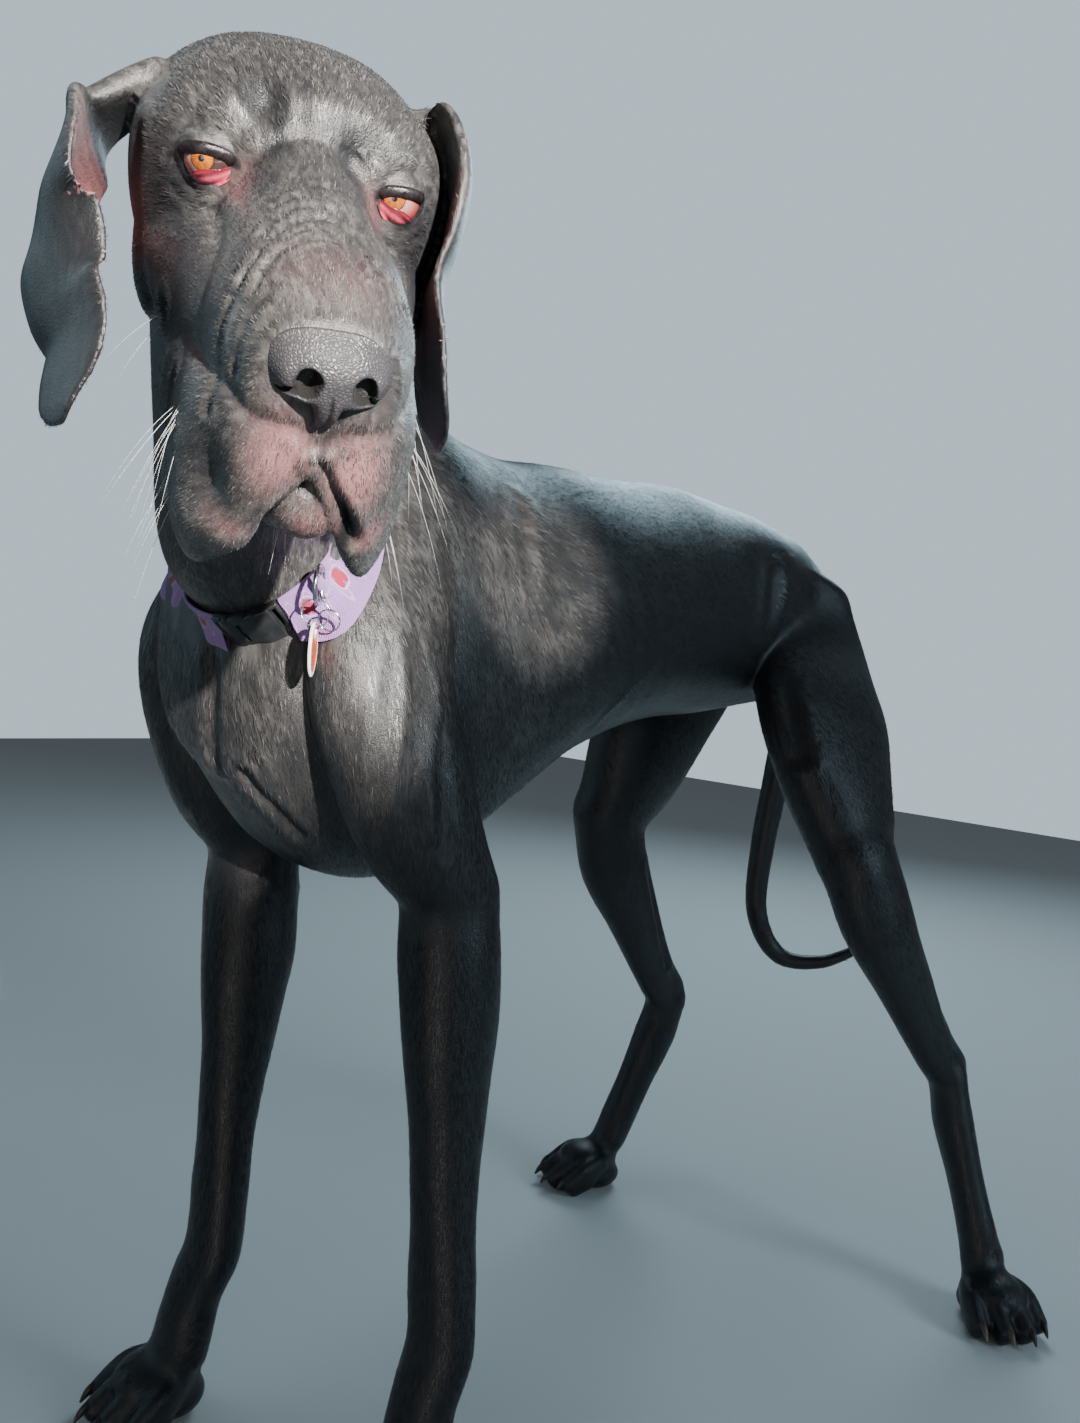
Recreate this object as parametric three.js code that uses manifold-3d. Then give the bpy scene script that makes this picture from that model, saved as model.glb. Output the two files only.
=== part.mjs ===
// A life-size great dane standing with its head turned to its left.
// Millimetres, +Z up, the dog faces -Y and its left side is +X.

import * as THREE from "three";
import { ParametricGeometry } from "three/addons/geometries/ParametricGeometry.js";
import { mergeVertices } from "three/addons/utils/BufferGeometryUtils.js";
import Module from "manifold-3d";

const wasm = await Module();
wasm.setup();

// the gap left between neighbouring pieces
const GAP = 0.3;

// moves the model so that the middle of its box stands on the origin
const ORIGIN = [-112.9, 59.0, 0];

// joints of the pose, as x, y, z
const POSE = {
  left: {
    out: 1,
    scapula: [46, -262, 722],
    shoulder: [94, -374, 590],
    elbow: [110, -274, 400],
    olecranon: [112, -248, 388],
    wrist: [148, -294, 152],
    knuckle: [150, -314, 46],
    paw: [150, -314],
    pawAim: [0.05, -1, 0],
    hip: [72, 326, 640],
    knee: [190, 196, 432],
    hock: [256, 322, 206],
    heel: [316, 308, 50],
    hindPaw: [314, 309],
    hindAim: [0.79, -0.61, 0],
  },
  right: {
    out: -1,
    scapula: [-46, -262, 722],
    shoulder: [-94, -374, 590],
    elbow: [-104, -282, 404],
    olecranon: [-102, -254, 394],
    wrist: [-64, -326, 150],
    knuckle: [-70, -348, 48],
    paw: [-74, -338],
    pawAim: [-0.15, -0.99, 0],
    hip: [-78, 326, 640],
    knee: [-92, 158, 440],
    hock: [-76, 304, 204],
    heel: [-100, 244, 50],
    hindPaw: [-98, 242],
    hindAim: [-0.55, -0.83, 0],
  },
};

// sizes of the feet, 1 being a paw about 94 long from its root to the claw tips
const FRONT_PAW = 0.88;
const HIND_PAW = 0.88;

// the head's own frame: its origin lies midway between the eyes
const HEAD_AT = new THREE.Vector3(219.3, -535.5, 815.1);
const HEAD_LEFT = new THREE.Vector3(0.4802, 0.8771, 0.007);
const HEAD_FORWARD = new THREE.Vector3(0.6719, -0.3628, -0.6457);
const HEAD_UP = new THREE.Vector3(0.5638, -0.3148, 0.7635);
const HEAD_SCALE = 0.98;

const EYE_SIDE = 43.5;
const EYE_FORWARD = -1;
const EYE_RADIUS = 12;
const LID_RADIUS = 15.5;

// the collar's plane, the width of its webbing and how thick it is
const COLLAR_AT = [19, -381, 673.5];
const COLLAR_AXIS = [0.125, -0.815, 0.565];
const WEBBING_WIDTH = 25;
const WEBBING_THICK = 3;

// the D-ring's middle, the way it faces, and the sizes of what hangs from it
const RING_AT = [102.8, -412, 636];
const RING_FACING = new THREE.Vector3(0.637, -0.771, 0);
const RING_BESIDE = new THREE.Vector3(0.771, 0.637, 0);
const D_RING = { radius: 11.5, wire: 1.5 };
const LARGE_RING = { radius: 8.6, wire: 0.9 };
const SMALL_RING = { radius: 6.8, wire: 0.8 };
const TAG = { wide: 21, high: 34, thick: 2, hole: 2.6 };

const COLOURS = {
  coat: 0x24262b,
  nose: 0x17181b,
  eye: 0xb0642a,
  webbing: 0xa98bc2,
  plastic: 0x1b1d20,
  metal: 0xb4b6ba,
  tag: 0xd9532c,
};

function vec(list) {
  return new THREE.Vector3(...list);
}

// value at t along a list of stations, by a Catmull-Rom curve through every one
function along(values, t) {
  const last = values.length - 1;
  const place = Math.min(Math.max(t, 0), 1) * last;
  const i = Math.min(Math.floor(place), last - 1);
  const f = place - i;
  const a = values[Math.max(i - 1, 0)];
  const b = values[i];
  const c = values[i + 1];
  const d = values[Math.min(i + 2, last)];
  const slope = (c - a) * f;
  const bend = (2 * a - 5 * b + 4 * c - d) * f * f;
  return 0.5 * (2 * b + slope + bend + (3 * b - a - 3 * c + d) * f ** 3);
}

function pointAlong(points, t) {
  return vec([0, 1, 2].map((axis) => along(points.map((p) => p[axis]), t)));
}

function between(a, b, t) {
  return a.map((value, i) => value + (b[i] - value) * t);
}

function shifted(a, x, y, z) {
  return [a[0] + x, a[1] + y, a[2] + z];
}

// a point of the head, given as left, forward and up of the eyes' middle
function inHead(left, forward, up) {
  const point = HEAD_AT.clone();
  point.addScaledVector(HEAD_LEFT, left * HEAD_SCALE);
  point.addScaledVector(HEAD_FORWARD, forward * HEAD_SCALE);
  return point.addScaledVector(HEAD_UP, up * HEAD_SCALE).toArray();
}

// a closed three.js geometry as a solid, without the triangles that its poles flatten
function solid(geometry) {
  const bare = geometry.clone();
  bare.deleteAttribute("normal");
  bare.deleteAttribute("uv");
  const merged = mergeVertices(bare, 1e-3);
  const index = merged.index.array;
  const kept = [];
  for (let i = 0; i < index.length; i += 3) {
    const [a, b, c] = [index[i], index[i + 1], index[i + 2]];
    if (a !== b && b !== c && c !== a) kept.push(a, b, c);
  }
  const vertProperties = new Float32Array(merged.attributes.position.array);
  const build = (corners) => new wasm.Manifold(
    new wasm.Mesh({ numProp: 3, vertProperties, triVerts: new Uint32Array(corners) }),
  );
  const made = build(kept);
  return made.volume() > 0 ? made : build(kept.reverse());
}

// A body through oval stations. Each has its centre "at", its half width "side", its half
// depths "front" and "back" towards and away from "toward", and how square it is. The ovals
// stand square to the path, or to "axis" where one is given.
function loft({
  stations, toward, axis, around = 16, rings = 12, capRings = 2, capStart = 10, capEnd = 10,
  grow = 0,
}) {
  const total = rings + 2 * capRings;
  const centres = stations.map((s) => s.at);
  const facings = stations.map((s) => s.toward ?? toward);
  const size = (name, t) => along(stations.map((s) => s[name]), t) + grow;
  const squareness = (t) => along(stations.map((s) => s.square ?? 2), t);
  const geometry = new ParametricGeometry((u, v, target) => {
    const ring = Math.round(v * total);
    const t = Math.min(Math.max((ring - capRings) / rings, 0), 1);
    const inCap = Math.max(capRings - ring, ring - rings - capRings, 0) / capRings;
    const lift = (inCap * Math.PI) / 2;
    const shrink = inCap === 1 ? 0 : Math.cos(lift);
    const reach = t === 0 ? -(capStart + grow) : capEnd + grow;
    const run = axis
      ? vec(axis).normalize()
      : pointAlong(centres, t + 0.01).sub(pointAlong(centres, t - 0.01)).normalize();
    const face = pointAlong(facings, t);
    face.addScaledVector(run, -face.dot(run)).normalize();
    const side = new THREE.Vector3().crossVectors(run, face);
    const angle = u >= 1 ? 0 : u * 2 * Math.PI;
    const power = 2 / squareness(t);
    const c = Math.cos(angle);
    const s = Math.sin(angle);
    const wide = Math.sign(c) * Math.abs(c) ** power * size("side", t);
    const deep = Math.sign(s) * Math.abs(s) ** power * size(s > 0 ? "front" : "back", t);
    target.copy(pointAlong(centres, t)).addScaledVector(run, reach * Math.sin(lift));
    target.addScaledVector(side, wide * shrink).addScaledVector(face, deep * shrink);
  }, around, total);
  return solid(geometry);
}

// an egg-shaped mass with three half sizes along three axes
function mass(at, sizes, axes, around = 14) {
  const geometry = new THREE.SphereGeometry(1, around, Math.round(around * 0.6));
  geometry.scale(...sizes);
  geometry.applyMatrix4(new THREE.Matrix4().makeBasis(...axes));
  geometry.translate(...at);
  return solid(geometry);
}

function headMass(left, forward, up, sizes, around = 14) {
  const axes = [HEAD_LEFT, HEAD_FORWARD, HEAD_UP];
  return mass(inHead(left, forward, up), sizes, axes, around);
}

function ball(at, radius, around = 12) {
  const geometry = new THREE.SphereGeometry(radius, around, Math.round(around * 0.6));
  geometry.translate(...at);
  return solid(geometry);
}

// a block with its centre, its full sizes, the direction across it and its up direction
function block(at, sizes, grow = 0, across = [1, 0, 0], up = [0, 0, 1]) {
  const z = vec(up).normalize();
  const x = vec(across);
  x.addScaledVector(z, -x.dot(z)).normalize();
  const y = new THREE.Vector3().crossVectors(z, x);
  const geometry = new THREE.BoxGeometry(...sizes.map((s) => s + 2 * grow));
  geometry.applyMatrix4(new THREE.Matrix4().makeBasis(x, y, z));
  geometry.translate(...at);
  return solid(geometry);
}

function union(solids) {
  return solids.reduce((whole, piece) => whole.add(piece));
}

// the largest closed body of a solid
function largest(whole) {
  return whole.decompose().reduce((a, b) => (b.volume() > a.volume() ? b : a));
}

const group = new THREE.Group();

function addMesh(name, whole, colour, roughness = 0.6, metalness = 0) {
  const { vertProperties, triVerts } = largest(whole).getMesh();
  const geometry = new THREE.BufferGeometry();
  geometry.setAttribute("position", new THREE.BufferAttribute(new Float32Array(vertProperties), 3));
  geometry.setIndex(new THREE.BufferAttribute(new Uint32Array(triVerts), 1));
  geometry.computeVertexNormals();
  const material = new THREE.MeshStandardMaterial({ color: colour, roughness, metalness });
  const mesh = new THREE.Mesh(geometry, material);
  mesh.name = name;
  group.add(mesh);
}

// the trunk, from the point of the chest to the rump
function trunkBody(grow = 0) {
  const station = (y, top, bottom, middle, side) => ({
    at: [0, y, middle], side, front: top - middle, back: middle - bottom, square: 2.1,
  });
  return loft({
    toward: [0, 0, 1],
    axis: [0, 1, 0],
    around: 20,
    rings: 14,
    capRings: 3,
    capStart: 26,
    capEnd: 24,
    grow,
    stations: [
      station(-398, 690, 505, 605, 78),
      station(-350, 748, 450, 602, 100),
      station(-285, 778, 424, 598, 110),
      station(-225, 766, 434, 600, 114),
      station(-170, 760, 466, 612, 116),
      station(-100, 766, 506, 632, 114),
      station(-10, 769, 534, 650, 104),
      station(75, 777, 548, 662, 92),
      station(160, 774, 554, 668, 84),
      station(245, 768, 564, 676, 84),
      station(330, 744, 574, 670, 78),
      station(395, 704, 590, 650, 58),
    ],
  });
}

function neckBody(grow = 0) {
  return loft({
    toward: [-0.45, 0.39, 0.8],
    axis: [0.142, -0.691, 0.707],
    around: 18,
    rings: 10,
    capStart: 30,
    capEnd: 12,
    grow,
    stations: [
      { at: [0, -250, 650], side: 92, front: 110, back: 130 },
      { at: [2, -318, 676], side: 88, front: 110, back: 122 },
      { at: [10, -386, 702], side: 74, front: 106, back: 108 },
      { at: [76, -436, 766], side: 80, front: 88, back: 94 },
      { at: [146, -496, 832], side: 74, front: 70, back: 74 },
    ],
  });
}

function tailBody() {
  const oval = (at, radius) => ({ at, side: radius, front: radius, back: radius });
  return loft({
    toward: [1, 0, 0],
    around: 10,
    rings: 16,
    capStart: 10,
    capEnd: 8,
    stations: [
      oval([-6, 380, 676], 34),
      oval([-12, 420, 640], 27),
      oval([-22, 440, 570], 21),
      oval([-32, 440, 480], 18),
      oval([-38, 432, 390], 16),
      oval([-36, 430, 310], 14),
      oval([-10, 446, 260], 12),
      oval([36, 470, 258], 9.5),
      oval([76, 494, 282], 7),
    ],
  });
}

// the shoulder and the upper arm
function armBody({ out, scapula, shoulder, elbow }, grow = 0) {
  return loft({
    toward: [0, -1, 0.3],
    around: 12,
    rings: 8,
    capStart: 14,
    capEnd: 18,
    grow,
    stations: [
      { at: scapula, side: 28, front: 44, back: 46 },
      { at: between(scapula, shoulder, 0.5), side: 36, front: 46, back: 62 },
      { at: shifted(shoulder, 0, 16, 0), side: 36, front: 46, back: 70 },
      { at: shifted(between(shoulder, elbow, 0.5), out * 2, 2, 0), side: 39, front: 46, back: 56 },
      { at: shifted(elbow, 0, 2, 34), side: 33, front: 38, back: 32 },
    ],
  });
}

// the forearm, down to the paw
function forearmBody({ out, elbow, olecranon, wrist, knuckle, pawAim }) {
  const shaft = (t, side, front, back) => ({ at: between(elbow, wrist, t), side, front, back });
  const forearm = loft({
    toward: pawAim,
    around: 12,
    rings: 11,
    capStart: 22,
    capEnd: 10,
    stations: [
      { at: shifted(elbow, -out * 4, 0, 40), side: 34, front: 40, back: 32 },
      shaft(0.02, 38, 43, 37),
      shaft(0.2, 34, 39, 42),
      shaft(0.36, 29.5, 34, 37),
      shaft(0.5, 27, 28, 32),
      shaft(0.65, 25.5, 25, 26),
      shaft(0.8, 25.5, 22, 23),
      shaft(0.95, 28, 21.5, 24),
      shaft(1.08, 27.5, 21, 23),
      { at: between(wrist, knuckle, 0.55), side: 26, front: 21, back: 21 },
      { at: knuckle, side: 30, front: 21, back: 24 },
    ],
  });
  const point = ball(olecranon, 18);
  const pad = ball(shifted(wrist, 0, 22, -14), 9, 8);
  return union([forearm, point, pad]);
}

// the thigh, the gaskin, and the hock with the rear pastern
function hindlegBodies({ out, hip, knee, hock, heel, hindAim }) {
  const thigh = loft({
    toward: [0, -1, 0],
    axis: knee.map((value, i) => value - hip[i]),
    around: 14,
    rings: 8,
    capStart: 30,
    capEnd: 18,
    stations: [
      { at: shifted(hip, -out * 12, -4, 36), side: 42, front: 84, back: 30 },
      { at: shifted(hip, -out * 4, -2, -16), side: 48, front: 108, back: 56 },
      { at: shifted(between(hip, knee, 0.42), -out * 6, -6, -4), side: 50, front: 106, back: 74 },
      { at: shifted(between(hip, knee, 0.75), -out * 8, 2, 0), side: 44, front: 84, back: 72 },
      { at: shifted(knee, -out * 6, 10, -4), side: 35, front: 46, back: 50 },
    ],
  });
  const shin = loft({
    toward: [0, -1, -0.5],
    around: 12,
    rings: 8,
    capStart: 18,
    capEnd: 12,
    stations: [
      { at: shifted(knee, -out * 6, 10, 10), side: 35, front: 44, back: 50 },
      { at: between(knee, hock, 0.22), side: 33, front: 48, back: 46 },
      { at: between(knee, hock, 0.5), side: 25, front: 38, back: 36 },
      { at: between(knee, hock, 0.78), side: 19, front: 28, back: 32 },
      { at: shifted(hock, 0, 4, 8), side: 20, front: 27, back: 32 },
    ],
  });
  const pastern = loft({
    toward: hindAim,
    around: 10,
    rings: 7,
    capStart: 20,
    capEnd: 10,
    stations: [
      { at: shifted(hock, 0, 2, 12), side: 19, front: 25, back: 29 },
      { at: between(hock, heel, 0.2), side: 20, front: 23, back: 29 },
      { at: between(hock, heel, 0.55), side: 18, front: 19, back: 25 },
      { at: between(hock, heel, 0.85), side: 20, front: 19, back: 24 },
      { at: heel, side: 26, front: 19, back: 24 },
    ],
  });
  return { thigh, shin, pastern };
}

// a paw: the pads, four arched toes and their claws
function pawBody(root, aim, size) {
  const forward = vec(aim).normalize();
  const side = new THREE.Vector3(-forward.y, forward.x, 0);
  const up = new THREE.Vector3(0, 0, 1);
  const spot = (ahead, across, height) => new THREE.Vector3(...root, 0)
    .addScaledVector(forward, ahead * size)
    .addScaledVector(side, across * size)
    .addScaledVector(up, height * size)
    .toArray();
  const oval = (at, wide, above, below) => ({
    at, side: wide * size, front: above * size, back: below * size,
  });
  const pieces = [
    mass(spot(12, 0, 17), [32 * size, 30 * size, 21 * size], [forward, side, up], 8),
    mass(spot(24, 0, 36), [40 * size, 33 * size, 22 * size], [forward, side, up], 8),
  ];
  const toes = [[58, -34], [72, -12], [72, 12], [58, 34]];
  for (const [ahead, across] of toes) {
    pieces.push(loft({
      toward: [0, 0, 1],
      around: 6,
      rings: 3,
      capRings: 1,
      capStart: 8,
      capEnd: 9,
      stations: [
        oval(spot(14, across * 0.7, 37), 11, 14, 16),
        oval(spot(ahead * 0.62, across * 0.95, 32), 12, 13, 27),
        oval(spot(ahead, across * 1.04, 15), 11, 12, 20),
      ],
    }));
    pieces.push(loft({
      toward: [0, 0, 1],
      around: 4,
      rings: 2,
      capRings: 1,
      capStart: 1,
      capEnd: 1.5,
      stations: [
        oval(spot(ahead, across * 1.04, 19), 4.4, 5, 5),
        oval(spot(ahead + 14, across * 1.05, 17), 3.2, 4, 4),
        oval(spot(ahead + 23, across * 1.06, 9), 1.4, 1.6, 1.6),
      ],
    }));
  }
  return union(pieces);
}

// a station of the head's long bodies: how far forward, top, bottom, widest height, half width
function headStation(forward, top, bottom, middle, side, square = 2.2) {
  return {
    at: inHead(0, forward, middle),
    side: side * HEAD_SCALE,
    front: (top - middle) * HEAD_SCALE,
    back: (middle - bottom) * HEAD_SCALE,
    square,
  };
}

function skullBody(grow = 0) {
  return loft({
    toward: HEAD_UP.toArray(),
    axis: HEAD_FORWARD.toArray(),
    around: 20,
    rings: 9,
    capRings: 3,
    capStart: 12,
    capEnd: 12,
    grow,
    stations: [
      headStation(-112, 20, -58, -10, 46),
      headStation(-88, 36, -84, -14, 70),
      headStation(-54, 43, -98, -18, 79),
      headStation(-26, 43, -104, -22, 76),
      headStation(-4, 39, -104, -30, 65),
      headStation(6, 31, -98, -38, 51),
    ],
  });
}

function muzzleBody() {
  return loft({
    toward: HEAD_UP.toArray(),
    axis: HEAD_FORWARD.toArray(),
    around: 18,
    rings: 9,
    capStart: 10,
    capEnd: 12,
    stations: [
      headStation(-14, 30, -98, -42, 40),
      headStation(12, 24, -100, -46, 44, 2),
      headStation(36, 17, -100, -46, 46, 2.1),
      headStation(62, 14, -98, -46, 47, 2.3),
      headStation(90, 12, -94, -44, 46, 2.5),
      headStation(116, 9, -84, -38, 42, 2.5),
      headStation(137, 3, -70, -32, 34, 2.4),
    ],
  });
}

// one side's hanging upper lip
function flewBody(out) {
  const station = (side, forward, up, thick, above, below) => ({
    at: inHead(side * out, forward + out * 0.4, up + out * 0.3),
    side: thick * HEAD_SCALE,
    front: above * HEAD_SCALE,
    back: below * HEAD_SCALE,
  });
  return loft({
    toward: HEAD_UP.toArray(),
    around: 10,
    rings: 8,
    capStart: 5,
    capEnd: 8,
    stations: [
      station(7, 141, -50, 9, 14, 19),
      station(25, 135, -65, 13, 30, 28),
      station(38, 113, -81, 14.5, 40, 51),
      station(43, 84, -93, 13.5, 46, 58),
      station(44, 52, -88, 13, 40, 42),
      station(45, 22, -74, 12, 30, 26),
    ],
  });
}

function jawBody(grow = 0) {
  return loft({
    toward: HEAD_UP.toArray(),
    axis: HEAD_FORWARD.toArray(),
    around: 14,
    rings: 7,
    capStart: 8,
    capEnd: 9,
    grow,
    stations: [
      headStation(6, -66, -112, -92, 32),
      headStation(40, -70, -113, -92, 30),
      headStation(74, -76, -116, -96, 27),
      headStation(104, -80, -118, -99, 24),
      headStation(124, -80, -114, -97, 18),
    ],
  });
}

function noseBody(grow = 0) {
  const station = (forward, top, bottom, side, square) => ({
    at: inHead(0, forward, (top + bottom) / 2),
    side: side * HEAD_SCALE,
    front: ((top - bottom) / 2) * HEAD_SCALE,
    back: ((top - bottom) / 2) * HEAD_SCALE,
    square,
  });
  return loft({
    toward: HEAD_UP.toArray(),
    axis: HEAD_FORWARD.toArray(),
    around: 14,
    rings: 4,
    capStart: 2,
    capEnd: 4,
    grow,
    stations: [
      station(127, 5, -32, 24, 2.3),
      station(138, 2, -41, 26.5, 2.5),
      station(147, -2, -42, 25, 2.5),
      station(153, -9, -37, 18, 2.4),
    ],
  });
}

// A thin leaf as two faces over one grid. They share their rim and split into triangles
// alike, so that they never cross.
function leaf(rows, columns, pointAt) {
  const points = [];
  const corners = [];
  const ids = new Map();
  const onRim = (i, j) => i === 0 || j === 0 || i === rows || j === columns;
  const idOf = (i, j, face) => {
    const key = [i, j, onRim(i, j) ? 0 : face].join();
    if (!ids.has(key)) {
      ids.set(key, points.length / 3);
      points.push(...pointAt(i / rows, j / columns, onRim(i, j) ? 0 : face).toArray());
    }
    return ids.get(key);
  };
  for (let i = 0; i < rows; i += 1) {
    for (let j = 0; j < columns; j += 1) {
      const cell = [[i, j], [i + 1, j], [i + 1, j + 1], [i, j + 1]];
      const turned = (i === 0 && j === columns - 1) || (i === rows - 1 && j === 0);
      const [a, b, c, d] = turned ? [...cell.slice(1), cell[0]] : cell;
      for (const face of [1, -1]) {
        for (const triangle of [[a, b, c], [a, c, d]]) {
          const ordered = face > 0 ? triangle : [...triangle].reverse();
          corners.push(...ordered.map(([row, column]) => idOf(row, column, face)));
        }
      }
    }
  }
  const geometry = new THREE.BufferGeometry();
  geometry.setAttribute("position", new THREE.Float32BufferAttribute(points, 3));
  geometry.setIndex(corners);
  return solid(geometry);
}

// an ear: a curved leaf that leaves its root outwards, folds over and hangs down
function earBody(stations) {
  const pick = (name, t) => along(stations.map((s) => s[name]), t);
  const centres = stations.map((s) => s.at);
  return leaf(13, 6, (v, u, face) => {
    const run = pointAlong(centres, v + 0.04).sub(pointAlong(centres, v - 0.04)).normalize();
    const across = pointAlong(stations.map((s) => s.across), v);
    across.addScaledVector(run, -across.dot(run)).normalize();
    const outward = new THREE.Vector3().crossVectors(run, across);
    const c = 2 * u - 1;
    const rise = face * pick("thick", v) * Math.sqrt(1 - c * c) - pick("curl", v) * c * c;
    const point = pointAlong(centres, v).addScaledVector(across, pick("half", v) * c);
    return point.addScaledVector(outward, rise);
  });
}

function rightEar() {
  return earBody([
    { at: inHead(-58, -72, 12), across: [0.8, -0.6, 0], half: 18, curl: 2, thick: 9 },
    { at: [128, -590, 842], across: [0.7, -0.72, 0], half: 23, curl: 3, thick: 7 },
    { at: [131, -599, 822], across: [0.72, -0.7, 0], half: 35, curl: 5, thick: 5 },
    { at: [124, -609, 798], across: [0.87, -0.49, 0], half: 39, curl: 17, thick: 4 },
    { at: [127, -609, 774], across: [1, -0.04, 0], half: 38, curl: 9, thick: 4 },
    { at: [130, -606, 753], across: [1, -0.04, 0], half: 39, curl: 6, thick: 3.6 },
    { at: [138, -602, 735], across: [0.98, -0.16, 0], half: 38, curl: 4, thick: 3.4 },
    { at: [139, -604, 714], across: [0.98, -0.16, 0], half: 32, curl: 2, thick: 3 },
    { at: [140, -606, 700], across: [0.97, -0.2, 0], half: 23, curl: 0, thick: 2.4 },
    { at: [140, -606, 692], across: [0.97, -0.2, 0], half: 10, curl: 0, thick: 2 },
  ]);
}

function leftEar() {
  return earBody([
    { at: inHead(58, -72, 10), across: [-0.78, 0.62, 0], half: 18, curl: 2, thick: 9 },
    { at: [219, -450, 868], across: [-0.78, 0.62, 0], half: 30, curl: 4, thick: 7 },
    { at: [231, -450, 835], across: [-0.84, 0.54, 0], half: 40, curl: 5, thick: 5 },
    { at: [233, -453, 806], across: [-0.82, 0.57, 0], half: 40, curl: 5, thick: 4 },
    { at: [230, -458, 782], across: [-0.8, 0.6, 0], half: 38, curl: 4, thick: 4 },
    { at: [232, -457, 755], across: [-0.82, 0.57, 0], half: 40, curl: 3, thick: 3.4 },
    { at: [237, -457, 728], across: [-0.82, 0.57, 0], half: 36, curl: 2, thick: 3 },
    { at: [240, -455, 715], across: [-0.82, 0.57, 0], half: 25, curl: 1, thick: 2.4 },
    { at: [242, -455, 706], across: [-0.82, 0.57, 0], half: 10, curl: 0, thick: 2 },
  ]);
}

function cheekBody(out, grow = 0) {
  return headMass(out * 59, -34, -58, [15 + grow, 38 + grow, 40 + grow], 10);
}

// the head: skull, muzzle, flews, brows, cheeks and lids, with the eyes' openings cut
function headBody() {
  const parts = [skullBody(), muzzleBody()];
  const openings = [];
  for (const out of [-1, 1]) {
    const eye = [out * EYE_SIDE, EYE_FORWARD, 0];
    parts.push(flewBody(out));
    parts.push(headMass(out * 35, -8, 17, [22, 16, 14], 10));
    parts.push(cheekBody(out));
    parts.push(ball(inHead(...eye), LID_RADIUS, 10));
    openings.push(headMass(eye[0] + out * 4, eye[1] + 14, -2, [13, 9, 8.5], 12));
    openings.push(ball(inHead(...eye), EYE_RADIUS + GAP, 14));
  }
  openings.push(noseBody(GAP), jawBody(GAP));
  return union(parts).subtract(union(openings));
}

// the nose pad with its two nostrils
function nosePad() {
  const nostrils = [-1, 1].map((out) => headMass(out * 13, 152, -22, [6, 9, 5.5], 10));
  return noseBody().subtract(union(nostrils));
}

// what the ears, the collar and the jaw meet, larger all round by the gap
function sidesOfHead(grow) {
  return union([skullBody(grow), cheekBody(-1, grow), cheekBody(1, grow), neckBody(grow)]);
}

// a point of the collar: how far across, how far up in its plane, how far along its axis
const COLLAR_ALONG = vec(COLLAR_AXIS).normalize();
const COLLAR_ACROSS = new THREE.Vector3(-COLLAR_ALONG.y, COLLAR_ALONG.x, 0).normalize();
const COLLAR_UP = new THREE.Vector3().crossVectors(COLLAR_ALONG, COLLAR_ACROSS);

function inCollar(across, up, forward = 0) {
  return vec(COLLAR_AT).addScaledVector(COLLAR_ACROSS, across)
    .addScaledVector(COLLAR_UP, up)
    .addScaledVector(COLLAR_ALONG, forward)
    .toArray();
}

// a block square to the collar
function collarBlock(across, up, forward, sizes, grow = 0) {
  const directions = [COLLAR_ACROSS.toArray(), COLLAR_ALONG.toArray()];
  return block(inCollar(across, up, forward), sizes, grow, ...directions);
}

// what the collar lies round, larger all round by a distance
function neckShape(grow) {
  return union([
    trunkBody(grow),
    neckBody(grow),
    armBody(POSE.left, grow),
    armBody(POSE.right, grow),
  ]);
}

// the webbing: a slice of the neck's own shape, a little larger than the neck
function webbingBody() {
  return neckShape(GAP + WEBBING_THICK)
    .subtract(neckShape(GAP))
    .intersect(collarBlock(0, 0, 0, [400, 400, WEBBING_WIDTH]));
}

// the side-release buckle in front, curved with the neck
function buckleBody(grow = 0) {
  const station = (across, up, side, thick) => ({
    at: inCollar(across, up),
    toward: inCollar(across, up).map((value, i) => value - COLLAR_AT[i]),
    side,
    front: thick,
    back: thick,
    square: 4,
  });
  const body = loft({
    around: 16,
    rings: 6,
    capStart: 3,
    capEnd: 3,
    grow,
    stations: [
      station(7, -84.5, 12, 4),
      station(18, -84, 14, 6),
      station(30, -81, 13, 6.5),
      station(41, -76.5, 14, 6),
      station(49.5, -70, 12, 4),
    ],
  });
  return grow ? body : body.subtract(neckShape(GAP));
}

// a place among the rings: how far beside, towards the viewer and up from the D-ring's middle
function byRing(beside, facing, up) {
  return vec(RING_AT).addScaledVector(RING_BESIDE, beside)
    .addScaledVector(RING_FACING, facing)
    .add(new THREE.Vector3(0, 0, up));
}

// a ring of wire round a middle, its plane given by two directions
function ringBody({ radius, wire }, middle, first, second, grow = 0) {
  const geometry = new THREE.TorusGeometry(radius, wire + grow, 6, 20);
  const third = new THREE.Vector3().crossVectors(first, second);
  geometry.applyMatrix4(new THREE.Matrix4().makeBasis(first, second, third));
  geometry.translate(middle.x, middle.y, middle.z);
  return solid(geometry);
}

function dRingBody(grow = 0) {
  return ringBody(D_RING, byRing(0, 0, 0), RING_FACING, new THREE.Vector3(0, 0, 1), grow);
}

// the loop on the webbing that holds the D-ring in a tunnel
function keeperBody() {
  const place = inCollar(63.4, -44.1, 0);
  const outward = vec(place).sub(vec(COLLAR_AT)).normalize().toArray();
  return block(place, [WEBBING_WIDTH + 2, 7, 26], 0, COLLAR_ALONG.toArray(), outward)
    .subtract(neckShape(2 * GAP + WEBBING_THICK))
    .subtract(dRingBody(GAP));
}

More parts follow.
